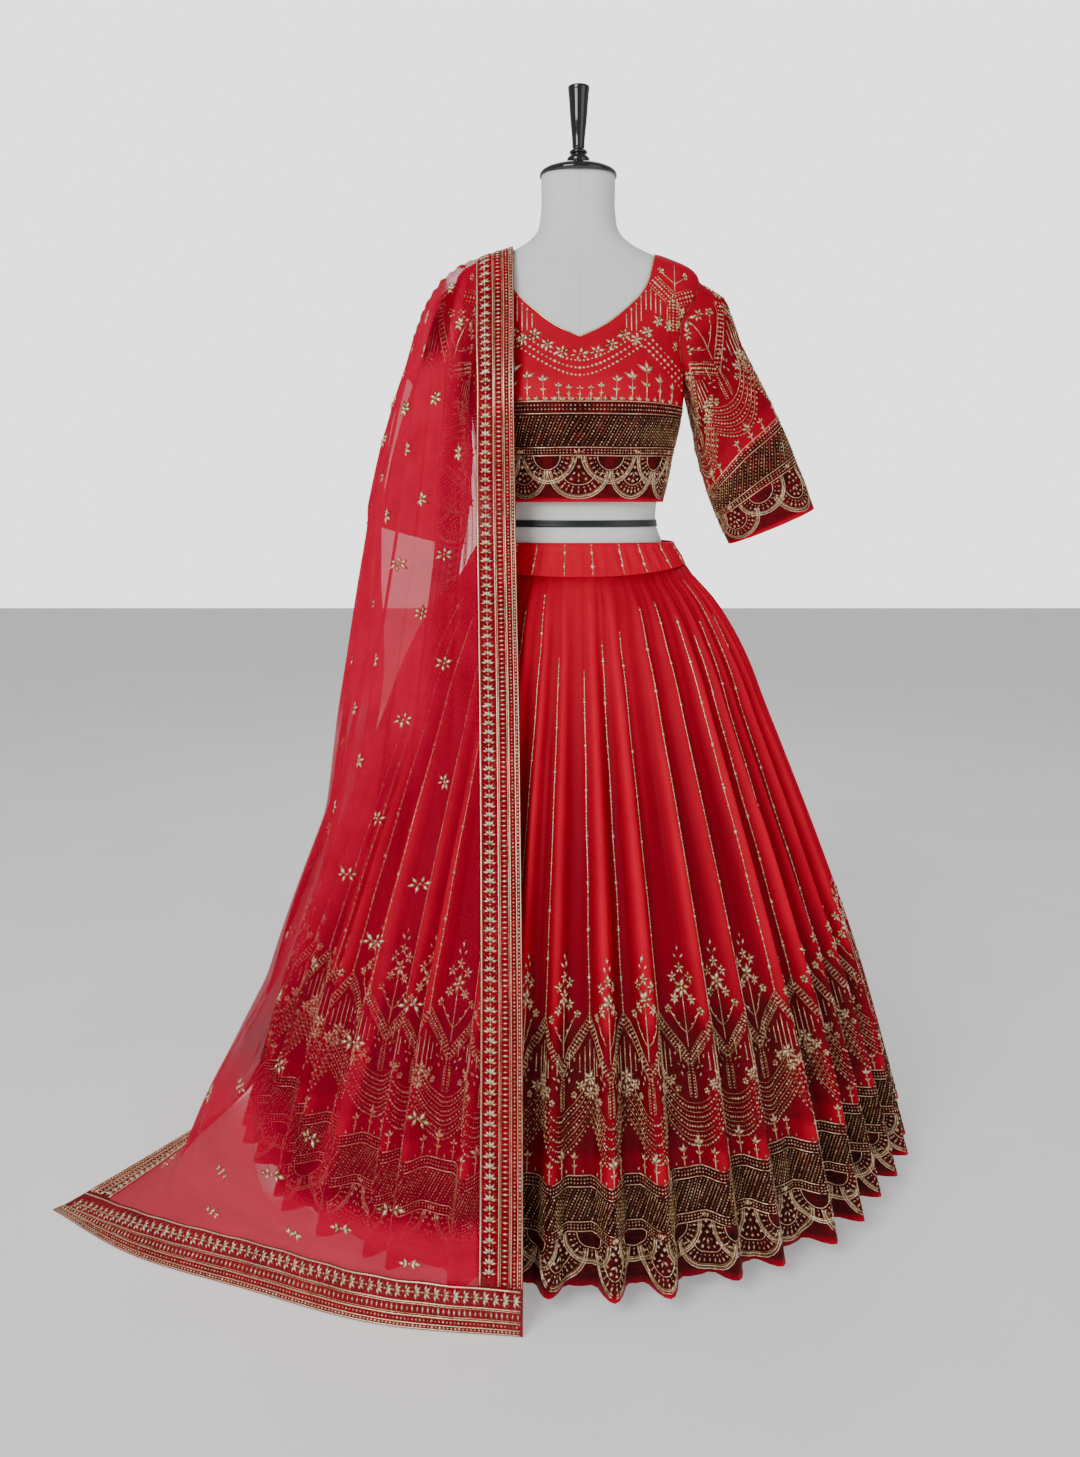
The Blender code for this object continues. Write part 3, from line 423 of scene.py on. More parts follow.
class Dupatta:
    """The dupatta as one sheet, read at (across in 0..3, row of the table)."""

    heights = np.linspace(0.0, 1.29, 44)
    angles = np.radians(np.linspace(-20, 200, 56))
    fine_across = 61
    clear = 0.008

    def __init__(self):
        self.guides = np.array([row[:5] for row in DUPATTA_SECTIONS], float)
        self.depths = np.array([row[5] for row in DUPATTA_SECTIONS], float)
        self.taut = clearance_table(self.heights, self.angles)

    def taut_radius(self, angle, height):
        """The clearance table read between its rows and columns."""
        row = np.clip(height / self.heights[-1] * (len(self.heights) - 1), 0, len(self.heights) - 1.001)
        step = self.angles[1] - self.angles[0]
        place = np.clip((angle - self.angles[0]) / step, 0, len(self.angles) - 1.001)
        r, c = row.astype(int), place.astype(int)
        up, over = row - r, place - c
        low = self.taut[r, c] * (1 - over) + self.taut[r, c + 1] * over
        high = self.taut[r + 1, c] * (1 - over) + self.taut[r + 1, c + 1] * over
        return low * (1 - up) + high * up

    def keep_clear(self, points):
        """Moves points out to where taut cloth would lie, below the shoulder."""
        radius = np.hypot(points[..., 0], points[..., 1])
        angle = np.arctan2(-points[..., 0], -points[..., 1])
        angle = np.where(angle < self.angles[0], angle + 2 * math.pi, angle)
        least = self.taut_radius(angle, points[..., 2]) + self.clear
        pushed = (radius + least + np.sqrt((radius - least) ** 2 + 0.004**2)) / 2
        share = np.clip((1.285 - points[..., 2]) / 0.06, 0, 1)
        grow = 1 + (pushed / radius - 1) * share
        return points * np.stack([grow, grow, np.ones_like(grow)], -1)

    def section(self, across, row):
        """The sheet's outer face along one row, at several places across."""
        guides = smooth_through(np.arange(len(self.guides)), self.guides, row)
        line = self.keep_clear(smooth_through(np.arange(5), guides, np.linspace(0, 4, self.fine_across)))
        line[:, 2] = np.maximum(line[:, 2], 0.0012)
        run = np.concatenate([[0], np.cumsum(np.linalg.norm(np.diff(line, axis=0), axis=1))])
        length = np.interp(across, [0, 1, 2, 3], [0, BORDER_WIDTH, run[-1] - BORDER_WIDTH, run[-1]])
        spot = np.stack([np.interp(length, run, line[:, k]) for k in range(3)], -1)
        depth = float(smooth_through(np.arange(len(self.depths)), self.depths, row))
        share = np.clip(across - 1, 0, 1)
        wave = depth * (0.5 - 0.5 * np.cos(2 * math.pi * NET_FOLDS * share))
        for first, last, start, end, wide, out in NET_CREASES:
            part = (row - start) / (end - start)
            if 0 < part < 1:
                middle = first + (last - first) * part
                inside = np.clip(share / 0.1, 0, 1) * np.clip((1 - share) / 0.1, 0, 1)
                line = np.exp(-(((across - middle) / wide) ** 2))
                wave = wave + out * math.sin(math.pi * part) * line * inside
        middle = np.stack([0 * length, 0 * length, np.where(spot[:, 2] > 1.2, 1.0, spot[:, 2])], -1)
        away = spot - middle
        spot = spot + wave[:, None] * away / np.linalg.norm(away, axis=1, keepdims=True)
        spot[:, 2] = np.maximum(spot[:, 2], 0.0012)
        return spot


class Cloth:
    """A cloth's outer face: a fine grid of points over flat places (u, v) in metres."""

    def __init__(self, points, u_places, v_places):
        self.points, self.us, self.vs = points, np.asarray(u_places, float), np.asarray(v_places, float)

    def at(self, u, v):
        """The points of the face at flat places."""
        i = np.clip(np.searchsorted(self.us, u, side="right") - 1, 0, len(self.us) - 2)
        j = np.clip(np.searchsorted(self.vs, v, side="right") - 1, 0, len(self.vs) - 2)
        s = ((u - self.us[i]) / (self.us[i + 1] - self.us[i]))[..., None]
        t = ((v - self.vs[j]) / (self.vs[j + 1] - self.vs[j]))[..., None]
        grid = self.points
        low = grid[j, i] * (1 - s) + grid[j, i + 1] * s
        high = grid[j + 1, i] * (1 - s) + grid[j + 1, i + 1] * s
        return low * (1 - t) + high * t

    def frame(self, u, v, turn=0.0, step=0.0009):
        """Places, and the ways along, across and out of the cloth there, turned by an angle in it."""
        spot = self.at(u, v)
        right = self.at(u + step, v) - self.at(u - step, v)
        up = self.at(u, v + step) - self.at(u, v - step)
        out = np.cross(right, up)
        out /= np.maximum(np.linalg.norm(out, axis=-1, keepdims=True), 1e-12)
        right /= np.maximum(np.linalg.norm(right, axis=-1, keepdims=True), 1e-12)
        up = np.cross(out, right)
        turn = np.broadcast_to(np.asarray(turn, float), u.shape)[..., None]
        along = right * np.cos(turn) + up * np.sin(turn)
        return spot, along, np.cross(out, along), out

    def measured(self):
        """The cloth's largest real lengths across its rows and up its columns."""
        across = np.linalg.norm(np.diff(self.points, axis=1), axis=-1).sum(1)
        upward = np.linalg.norm(np.diff(self.points, axis=0), axis=-1).sum(0)
        return float(across.max()), float(upward.max())

    def flat_area(self):
        """The area of the grid's cells, in square metres."""
        grid = self.points
        one = np.cross(grid[:-1, 1:] - grid[:-1, :-1], grid[1:, :-1] - grid[:-1, :-1])
        two = np.cross(grid[1:, 1:] - grid[:-1, 1:], grid[1:, 1:] - grid[1:, :-1])
        return float((np.linalg.norm(one, axis=-1) + np.linalg.norm(two, axis=-1)).sum() / 2)


def lengths_along(points):
    """Running lengths in metres along a line of points."""
    return np.concatenate([[0], np.cumsum(np.linalg.norm(np.diff(points, axis=0), axis=1))])


def length_of(points):
    """The whole length of a line of points."""
    return float(np.linalg.norm(np.diff(points, axis=0), axis=1).sum())


def mark_points(mesh, name, values):
    """Gives each point of a mesh a value that its material reads."""
    mark = mesh.attributes.new(name, "FLOAT", "POINT")
    mark.data.foreach_set("value", np.ravel(values).astype(np.float32))


def show(name, mesh, finish):
    """Makes a piece of a mesh, links it, gives it its material and lets it ride on the part."""
    piece = bpy.data.objects.new(name, mesh)
    bpy.context.scene.collection.objects.link(piece)
    piece.data.materials.append(finish)
    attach(piece, "root")
    return piece


def cloth_piece(name, cloth, wall, kind, context, closed=False):
    """A cloth as a thin wall: a grid moved onto the cloth's face, with its flat places as UV map."""
    rows, columns = cloth.points.shape[:2]
    shape = bmesh.new()
    shape.loops.layers.uv.new("fabric")
    bmesh.ops.create_grid(shape, x_segments=columns - 1, y_segments=rows - 1, size=1.0, calc_uvs=True)
    mesh = bpy.data.meshes.new(name)
    shape.to_mesh(mesh)
    shape.free()
    flat = np.empty(len(mesh.vertices) * 3, np.float32)
    mesh.vertices.foreach_get("co", flat)
    flat = flat.reshape(-1, 3)
    i = np.rint((flat[:, 0] + 1) / 2 * (columns - 1)).astype(int)
    j = np.rint((flat[:, 1] + 1) / 2 * (rows - 1)).astype(int)
    corners = np.empty(len(mesh.loops), np.int32)
    mesh.loops.foreach_get("vertex_index", corners)
    places = np.stack([cloth.us[i], cloth.vs[j]], -1)[corners]
    mesh.uv_layers[0].data.foreach_set("uv", places.astype(np.float32).ravel())
    mesh.vertices.foreach_set("co", cloth.points[j, i].astype(np.float32).ravel())
    if closed:
        shape = bmesh.new()
        shape.from_mesh(mesh)
        bmesh.ops.remove_doubles(shape, verts=[v for v in shape.verts if v.is_boundary], dist=0.00002)
        shape.to_mesh(mesh)
        shape.free()
    mesh.shade_smooth()
    piece = show(name, mesh, finish_of(kind, context))
    solid = piece.modifiers.new("wall", "SOLIDIFY")
    solid.thickness, solid.offset, solid.use_even_offset = wall, -1.0, False
    return piece


BOLD = 1.32
BEAD_CORNERS = np.array([(1, 0, -0.15), (0, 1, -0.15), (-1, 0, -0.15), (0, -1, -0.15), (0, 0, 1)], float)
BEAD_FACES = np.array([(0, 1, 4), (1, 2, 4), (2, 3, 4), (3, 0, 4), (0, 2, 1), (0, 3, 2)])


class Stitches:
    """Beads, petals and threads sewn on one cloth, gathered as arrays and joined in one mesh."""

    lift = 0.0003

    def __init__(self, cloth, seed, inside=None):
        self.cloth, self.inside = cloth, inside
        self.random = np.random.default_rng(seed)
        self.corners, self.faces, self.shades, self.count = [], [], [], 0

    def keep(self, corners, faces, shades):
        """Adds joined corners and faces to the mesh."""
        self.corners.append(corners)
        self.faces.append(faces + self.count)
        self.shades.append(shades)
        self.count += len(corners)

    def beads(self, u, v, length, width=None, turn=0.0, shade=0.5, height=0.6):
        """Beads, sequins or petals at flat places: length and width are half sizes in metres."""
        u, v = (np.asarray(a, float).ravel() for a in np.broadcast_arrays(u, v))
        turn = np.broadcast_to(turn, u.shape) if np.ndim(turn) == 0 else np.asarray(turn, float).ravel()
        if self.inside is not None:
            kept = self.inside(u, v)
            u, v, turn = u[kept], v[kept], turn[kept]
        if not len(u):
            return
        width = length if width is None else width
        length, width = length * BOLD, width * BOLD
        size = 1 + 0.14 * self.random.standard_normal(len(u)).clip(-2, 2)
        spot, along, across, out = self.cloth.frame(u, v, turn)
        shape = BEAD_CORNERS * [length, width, min(length, width) * height]
        shape = shape[None] * size[:, None, None]
        corners = spot[:, None] + shape[..., :1] * along[:, None] + shape[..., 1:2] * across[:, None]
        corners = corners + (shape[..., 2:] + self.lift) * out[:, None]
        faces = BEAD_FACES[None] + 5 * np.arange(len(u))[:, None, None]
        tone = np.clip(shade + 0.16 * self.random.standard_normal(len(u)), 0, 1)
        self.keep(corners.reshape(-1, 3), faces.reshape(-1, 3), np.repeat(tone, 5))

    def petal(self, u, v, far, way, length, width=None, shade=0.5):
        """A petal some way out from flat places, laid along that way; a round bead isn't turned."""
        turn = 0.0 if width is None else way
        self.beads(u + far * math.cos(way), v + far * math.sin(way), length, width, turn, shade)

    def threads(self, u, v, width, shade=0.5, height=0.5):
        """Laid threads: each row of u and v is one line of places; the thread is three-sided and closed."""
        u, v = np.broadcast_arrays(np.atleast_2d(u), np.atleast_2d(v))
        if self.inside is not None and not self.inside(u, v).all():
            for one_u, one_v in zip(u, v):
                kept = np.flatnonzero(self.inside(one_u, one_v))
                for run in np.split(kept, np.flatnonzero(np.diff(kept) > 1) + 1):
                    if len(run) > 1:
                        self.threads(one_u[run], one_v[run], width, shade, height)
            return
        width = width * BOLD
        lines, places = u.shape
        spot, _, _, out = self.cloth.frame(u, v)
        along = np.gradient(spot, axis=1)
        along /= np.maximum(np.linalg.norm(along, axis=-1, keepdims=True), 1e-9)
        side = np.cross(out, along) * (width / 2)
        spot = spot + out * self.lift
        sunk = spot - out * 0.0004
        ring_of_three = np.stack([sunk - side, spot + out * width * height, sunk + side], 2)
        first = np.arange(lines)[:, None, None] * places * 3
        step = np.arange(places - 1)[None, :, None] * 3
        sides = []
        for a, b in ((0, 1), (1, 2), (2, 0)):
            sides.append(np.stack([first + step + a, first + step + b, first + step + 3 + b], -1))
            sides.append(np.stack([first + step + a, first + step + 3 + b, first + step + 3 + a], -1))
        faces = np.concatenate([part.reshape(-1, 3) for part in sides])
        start = first.reshape(-1, 1)
        end = start + (places - 1) * 3
        caps = np.concatenate([start + [[2, 1, 0]], end + [[0, 1, 2]]])
        tone = np.clip(shade + 0.10 * self.random.standard_normal((lines, places, 1)), 0, 1)
        faces = np.concatenate([faces, caps])
        self.keep(ring_of_three.reshape(-1, 3), faces, np.repeat(tone, 3, axis=2).ravel())

    def piece(self, name, context):
        """The joined mesh as a piece that rides on the part."""
        corners, faces = np.concatenate(self.corners), np.concatenate(self.faces)
        mesh = bpy.data.meshes.new(name)
        mesh.vertices.add(len(corners))
        mesh.vertices.foreach_set("co", corners.astype(np.float32).ravel())
        mesh.loops.add(len(faces) * 3)
        mesh.loops.foreach_set("vertex_index", faces.astype(np.int32).ravel())
        mesh.polygons.add(len(faces))
        mesh.polygons.foreach_set("loop_start", np.arange(0, len(faces) * 3, 3, dtype=np.int32))
        mesh.update(calc_edges=True)
        mark_points(mesh, "shade", np.concatenate(self.shades))
        mesh.shade_smooth()
        sewn = show(name, mesh, finish_of("gold work", context))


def star(on, u, v, size, petals=6, turn=0.3, shade=0.62):
    """Small flowers of pointed petals round a bead."""
    for k in range(petals):
        on.petal(u, v, 0.58 * size, turn + 2 * math.pi * k / petals, size * 0.46, size * 0.21, shade)
    on.beads(u, v, size * 0.16, shade=0.85)


def sprig(on, u, v, tall, lean=0.0, shade=0.6):
    """Sprigs: a stem with a bud of three leaves at its top and a small pair below."""
    u, v = np.asarray(u, float).ravel(), np.broadcast_to(v, np.shape(u)).astype(float).ravel()
    part = np.linspace(0, 0.72, 4)
    on.threads(u[:, None] + lean * part, v[:, None] + tall * part, 0.0013, shade + 0.06)
    for way, far in ((0.0, 0.17), (0.95, 0.13), (-0.95, 0.13)):
        on.petal(u + lean * 0.8, v + 0.76 * tall, far * tall, math.pi / 2 - way, 0.16 * tall, 0.062 * tall,
                 shade + 0.1)
    for way in (0.9, -0.9):
        up = math.pi / 2 - way
        on.beads(u + lean * 0.35 + 0.1 * tall * math.cos(up), v + 0.38 * tall + 0.06 * tall * math.sin(up),
                 0.10 * tall, 0.038 * tall, up, shade)


def round_flower(on, u, v, size, shade=0.62):
    """Small round flowers of five beads."""
    for k in range(5):
        on.petal(u, v, 0.6 * size, 2 * math.pi * k / 5 + 0.2, size * 0.36, shade=shade)
    on.beads(u, v, size * 0.3, shade=0.3)


# The outlines of a scallop, each (share of its radius, width, shade).
FAN_OUTLINES = (
    (1.0, 0.0013, 0.74), (0.955, 0.0012, 0.20), (0.915, 0.0013, 0.84), (0.865, 0.0011, 0.30),
    (0.50, 0.0011, 0.66),
)
FAN_SQUASH = 0.95


def fan(on, u, v, radius, low=0.0, high=math.pi, buds=True):
    """Scallops: hanging half rounds with a double outline, rays of dashes and a small flower."""
    u = np.asarray(u, float).ravel()
    v = np.broadcast_to(v, u.shape).astype(float)
    ways = np.linspace(-high, -low, 15)
    for share, wide, shade in FAN_OUTLINES:
        far = radius * share
        on.threads(u[:, None] + far * np.cos(ways), v[:, None] + far * FAN_SQUASH * np.sin(ways), wide, shade)
    for share, half in ((0.745, 0.070), (0.60, 0.030)):
        for way in np.linspace(-high + 0.12, -low - 0.12, 13):
            far = radius * share
            on.beads(u + far * math.cos(way), v + far * FAN_SQUASH * math.sin(way), radius * half,
                     radius * 0.026, way, 0.66)
    if not buds:
        return
    for way in np.linspace(-high + 0.35, -low - 0.35, 5):
        on.petal(u, v, radius * 0.34, way, radius * 0.052, shade=0.6)
    for way in (-0.9, 0.0, 0.9):
        on.petal(u, v, radius * 0.15, -math.pi / 2 + way, radius * 0.08, radius * 0.03, 0.7)
    for du, dv in ((-0.22, 0.14), (0.0, 0.12), (0.22, 0.14), (-0.11, 0.30), (0.11, 0.30), (0.0, 0.45)):
        on.beads(u + radius * du, v + radius * dv, radius * 0.055, shade=0.66)
    for way in (-0.6, 0.0, 0.6):
        on.petal(u, v + radius * 0.52, radius * 0.13, math.pi / 2 - way, radius * 0.085, radius * 0.034, 0.7)


def dotted_band(on, start, end, low, high, size=0.00125):
    """A band of two rows of dots between two laid gold lines."""
    line = np.linspace(start, end, max(int((end - start) / 0.011), 2) + 1)
    for level in (low, high):
        on.threads(line, level, 0.0014, 0.62)
    pitch = 0.0046
    for share in (1 / 3, 2 / 3):
        on.beads(np.arange(start + pitch / 2, end, pitch), low + (high - low) * share, size, shade=0.58)


def slanted_band(on, start, end, low, high):
    """A dense band of slanted bead rows with a thread between each two."""
    pitch, lean, size = 0.0092, 0.020, 0.0012
    rows = np.arange(start - lean, end, pitch)
    part = np.linspace(0.06, 0.94, max(int((high - low) / 0.0036), 3))
    u, v = np.broadcast_arrays(rows[:, None] + lean * part, low + (high - low) * part)
    inside = (u > start) & (u < end)
    on.beads(u[inside], v[inside], size * 1.15, size * 0.9, math.atan2(high - low, lean), 0.56)
    lines = rows + pitch * 0.5
    lines = lines[(lines > start) & (lines + lean < end)]
    ends = np.linspace(0.04, 0.96, 3)
    on.threads(lines[:, None] + lean * ends, low + (high - low) * ends, 0.0009, 0.30)


def swag(on, middles, width, low, rise, size, pitch):
    """Dotted lines that hang in a round curve and meet in a point between two swags."""
    part = np.linspace(-0.5, 0.5, int(width * 1.25 / pitch), endpoint=False)
    u = middles[:, None] + width * part
    slope = np.arctan2(rise * math.pi * np.sin(math.pi * part), width) + 0 * u
    on.beads(u, low + rise * (1 - np.cos(math.pi * part)), size, size * 0.8, slope, 0.62)


# Levels of the bands: middles of the lower and upper scallops and their largest radii,
# then the dots, the slanted beads and the upper dots, each from and to.
BAND_LEVELS = (0.0470, 0.0440, 0.0680, 0.0420, 0.0690, 0.0810, 0.0825, 0.1240, 0.1255, 0.1400)


def hem_bands(on, start, repeats, width, unit):
    """The lower bands of skirt, blouse and sleeves: two rows of scallops, dots, slanted beads, dots."""
    middles = start + width * (np.arange(repeats) + 0.5)
    ends = start, start + width * repeats
    low, low_radius, high, high_radius, *bands = (level * unit for level in BAND_LEVELS)
    fan(on, middles, low, min(width * 0.56, low_radius))
    above = min(width * 0.50, high_radius)
    fan(on, middles[:-1] + width / 2, high, above, buds=False)
    fan(on, [ends[1] - 0.0001], high, above, buds=False, low=math.pi / 2)
    fan(on, [ends[0] + 0.0001], high, above, buds=False, high=math.pi / 2)
    dotted_band(on, *ends, *bands[:2], size=0.0012)
    slanted_band(on, *ends, *bands[2:4])
    dotted_band(on, *ends, *bands[4:])


def tall_border(on, start, repeats, width, unit):
    """What rises above the bands: sprigs, swags, bars under dotted roofs, star sprays on top."""
    middles = start + width * (np.arange(repeats) + 0.5)
    rows = middles[:, None]
    peaks = start + width * np.arange(repeats + 1)
    inner = peaks[1:-1]
    sprig(on, middles, 0.137 * unit, 0.034 * unit)
    sprig(on, np.concatenate([middles - width * 0.25, middles + width * 0.25]), 0.137 * unit, 0.026 * unit)
    for share in (0.125, 0.375, 0.625, 0.875):
        on.beads(start + width * (np.arange(repeats) + share), 0.141 * unit, 0.0012, 0.0022, shade=0.6)
    line = np.linspace(-0.5, 0.5, 9)
    for k, low in enumerate((0.160, 0.172, 0.184, 0.196, 0.208)):
        swag(on, middles, width, low * unit, 0.042 * unit, size=0.0014 if k % 2 else 0.0018, pitch=0.0052)
        hang = 0.042 * (1 - np.cos(math.pi * line))
        on.threads(rows + width * line, (low + 0.0060 + hang) * unit, 0.0008, 0.45)
    for share in np.linspace(-0.34, 0.34, 9):
        u = peaks + width * share
        u = u[(u > start) & (u < peaks[-1])]
        top = (0.306 - abs(share) * 0.055 / 0.5) * unit
        low = (0.268 - 0.022 * math.cos(share * 9)) * unit
        on.threads(u[:, None], low + (top - low) * np.linspace(0, 1, 3), 0.0012, 0.60)
        on.beads(u, low - 0.0015, 0.0016, 0.0012, shade=0.72)
    stem = np.linspace(0.222, 0.266, 12) * unit
    arm, line = np.linspace(0.04, 0.98, 15), np.linspace(0.04, 0.98, 5)
    for side in (-1, 1):
        half = side * width / 2
        on.beads(rows + side * 0.0030, stem, 0.0012, shade=0.6)
        on.threads(rows + side * 0.0054, stem[::4], 0.0009, 0.4)
        for rise, size, tone in ((0.0, 0.0013, 0.6), (0.0062, 0.0017, 0.7), (0.0124, 0.0013, 0.6)):
            on.beads(rows + half * arm, (0.262 + 0.060 * arm) * unit + rise, size, shade=tone)
        for rise in (-0.0034, 0.0158):
            on.threads(rows + half * line, (0.262 + 0.060 * line) * unit + rise, 0.0009, 0.42)
    cross = ((0.0, 0.256, 0.0100), (0.0, 0.238, 0.0080), (-0.15, 0.247, 0.0078), (0.15, 0.247, 0.0078))
    for du, dv, size in cross:
        star(on, inner + width * du, dv * unit, size * min(1.0, unit * 1.05), shade=0.7)
    for side in (-1, 1):
        round_flower(on, middles + side * width * 0.24, 0.236 * unit, 0.0050)
        for du, dv, turn in ((0.12, 0.262, 0.5), (0.16, 0.254, 0.2), (0.20, 0.266, 0.8), (0.28, 0.252, 0.3)):
            on.beads(middles + side * width * du, dv * unit, 0.0030, 0.0012, math.pi / 2 - side * turn, 0.6)
    on.threads(rows, np.linspace(0.286, 0.352, 5) * unit, 0.0012, 0.6)
    star(on, middles, 0.362 * unit, 0.0125, shade=0.7)
    star(on, middles, 0.388 * unit, 0.0085, petals=5, shade=0.66)
    for side in (-1, 1):
        star(on, middles + side * width * 0.15, 0.378 * unit, 0.0082, petals=5, shade=0.66)
        star(on, middles + side * width * 0.15, 0.350 * unit, 0.0078, shade=0.7)
        round_flower(on, middles + side * width * 0.29, 0.338 * unit, 0.0064)
        part = np.linspace(0, 1, 4)
        reach = side * width * 0.26
        on.threads(rows + reach * part, (0.304 + 0.032 * part**1.4) * unit, 0.0010, 0.55)
        for share, up in ((0.45, 0.9), (0.75, 0.6)):
            on.beads(middles + reach * share, (0.304 + 0.032 * share**1.4) * unit + 0.003, 0.0030, 0.0012,
                     math.pi / 2 - side * up, 0.6)
    for du, dv in ((-0.06, 0.404), (0.0, 0.414), (0.06, 0.404)):
        on.beads(middles + width * du, dv * unit, 0.0042, 0.0017, math.pi / 2 - du * 8, 0.7)


# The yoke of the blouse front, in metres from its middle and above the floor: rows of
# the swags, stars under the neck and up to the shoulder, bars, roofs over the armhole
# side, flowers beside the roof's stem, side stars and sprigs.
YOKE_SWAGS = ((1.1890, 0.0022, 0.0019), (1.1785, 0.0025, 0.0021), (1.1680, 0.0022, 0.0019))
YOKE_STARS = ((0.0245, 1.2020), (0.0450, 1.2125), (0.0630, 1.2265))
SHOULDER_STARS = ((0.0800, 1.2200), (0.0960, 1.2320), (0.1120, 1.2480), (0.1270, 1.2420))
YOKE_BARS = (
    (0.066, 1.236, 1.254), (0.073, 1.232, 1.262), (0.080, 1.232, 1.270), (0.087, 1.246, 1.280),
    (0.094, 1.262, 1.288), (0.101, 1.262, 1.290), (0.108, 1.258, 1.284), (0.115, 1.256, 1.276),
)
YOKE_ROOFS = (
    ((0.1035, 1.304), (0.1340, 1.277)),
    ((0.1340, 1.277), (0.1640, 1.288)),
    ((0.1340, 1.277), (0.1340, 1.236)),
)
SIDE_STARS = ((0.147, 1.262, 0.0088), (0.142, 1.246, 0.0070), (0.150, 1.228, 0.0070), (0.138, 1.215, 0.0075))
YOKE_SPRIGS = (
    (0.0, 0.018), (0.0150, 0.019), (0.0290, 0.022), (0.0500, 0.032), (0.0720, 0.038), (0.0930, 0.052),
    (0.1130, 0.034), (0.1320, 0.026),
)
YOKE_FOOT = 1.1355


def blouse_front_embroidery(on, turn_of):
    """The yoke of the blouse front: stars under the neck, three swags to a peak, bars, roofs and sprigs.

    turn_of gives the flat place across the front for a distance x from its middle at a height z.
    """
    def at(x, z):
        x, z = np.broadcast_arrays(np.atleast_1d(np.asarray(x, float)), np.asarray(z, float))
        return turn_of(x, z), z

    def mirrored(places):
        x, z = np.array(places).T
        return at(np.concatenate([-x[::-1], x]), np.concatenate([z[::-1], z]))

    x_line = np.linspace(-0.150, 0.150, 53)
    drop = np.abs(x_line)
    curve = np.where(drop < 0.089, 0.045 * (1 - np.cos(np.clip(drop / 0.089, 0, 1) * math.pi / 2)) ** 0.9,
                     0.045 - (drop - 0.089) * 0.92)
    for level, size, wide in YOKE_SWAGS:
        z = level + curve
        on.beads(*at(x_line, z), size, wide, np.arctan2(np.gradient(z), np.gradient(x_line)), 0.84)
    star(on, *mirrored(YOKE_STARS), 0.0098, shade=0.7)
    star(on, *at(0.0, 1.1985), 0.0098, shade=0.7)
    star(on, *mirrored(SHOULDER_STARS), 0.0092, shade=0.7)
    for x, low, high in YOKE_BARS:
        for side in (-1, 1):
            on.threads(*at(side * x, np.linspace(low, high, 4)), 0.0016, 0.74)
            on.beads(*at(side * x, high), 0.0026, 0.0014, math.pi / 2, 0.72)
    for (x0, z0), (x1, z1) in YOKE_ROOFS:
        run = math.hypot(x1 - x0, z1 - z0)
        part = np.linspace(0.03, 0.97, max(int(run / 0.0040), 3))
        across = np.array([-(z1 - z0), x1 - x0]) / run
        for shift, size in ((-0.0056, 0.0015), (0.0, 0.0020), (0.0056, 0.0015)):
            x = x0 + (x1 - x0) * part + across[0] * shift
            z = z0 + (z1 - z0) * part + across[1] * shift
            for side in (-1, 1):
                on.beads(*at(side * x, z), size, shade=0.68)
                if shift:
                    u, v = at(side * (x + across[0] * shift * 0.6), z + across[1] * shift * 0.6)
                    on.threads(u[::2], v[::2], 0.0010, 0.5)
    for side in (-1, 1):
        on.threads(*at(side * 0.136, np.linspace(1.290, 1.326, 5)), 0.0013, 0.66)
        for x, z in ((0.116, 1.318), (0.152, 1.312)):
            round_flower(on, *at(side * x, z), 0.0058, 0.7)
            part = np.linspace(0, 1, 4)
            on.threads(*at(side * (0.136 + (x - 0.136) * part), 1.300 + (z - 1.302) * part), 0.0011, 0.62)
        for x, z, size in SIDE_STARS:
            star(on, *at(side * x, z), size)
    round_flower(on, *mirrored([(0.034, 1.246)]), 0.0054, 0.72)
    for x, tall in YOKE_SPRIGS:
        sprig(on, *at([0.0] if x == 0 else [-x, x], YOKE_FOOT), tall, shade=0.66)
    small = turn_of(*np.broadcast_arrays(np.arange(-0.142, 0.143, 0.0118), 1.1365))
    for way in (0.75, 0.0, -0.75):
        on.petal(small, YOKE_FOOT, 0.003, math.pi / 2 - way, 0.0034, 0.0013, 0.66)


def blouse_back_embroidery(on, start, end):
    """The plain yoke of the blouse back: rows of small sprigs and stars."""
    for row, level in enumerate((1.150, 1.176)):
        sprig(on, np.arange(start + 0.016 + 0.011 * (row % 2), end - 0.012, 0.022), level, 0.018)
    star(on, np.arange(start + 0.07, end - 0.06, 0.03), 1.204, 0.0060)


# The lines of the dupatta's border, each (share of its width, thread's width, shade),
# and the leaves of its palmettes, each (turn, how far from the foot, half length).
STOLE_LINES = (
    (0.025, 0.0014, 0.7), (0.12, 0.0014, 0.7), (0.27, 0.0016, 0.74), (0.31, 0.0010, 0.5), (0.51, 0.0010, 0.5),
    (0.55, 0.0016, 0.74), (0.965, 0.0022, 0.76),
)
PALMETTE_LEAVES = (
    (0.0, 0.0038, 0.0042), (0.72, 0.0046, 0.0044), (-0.72, 0.0046, 0.0044), (1.42, 0.0052, 0.0036),
    (-1.42, 0.0052, 0.0036),
)


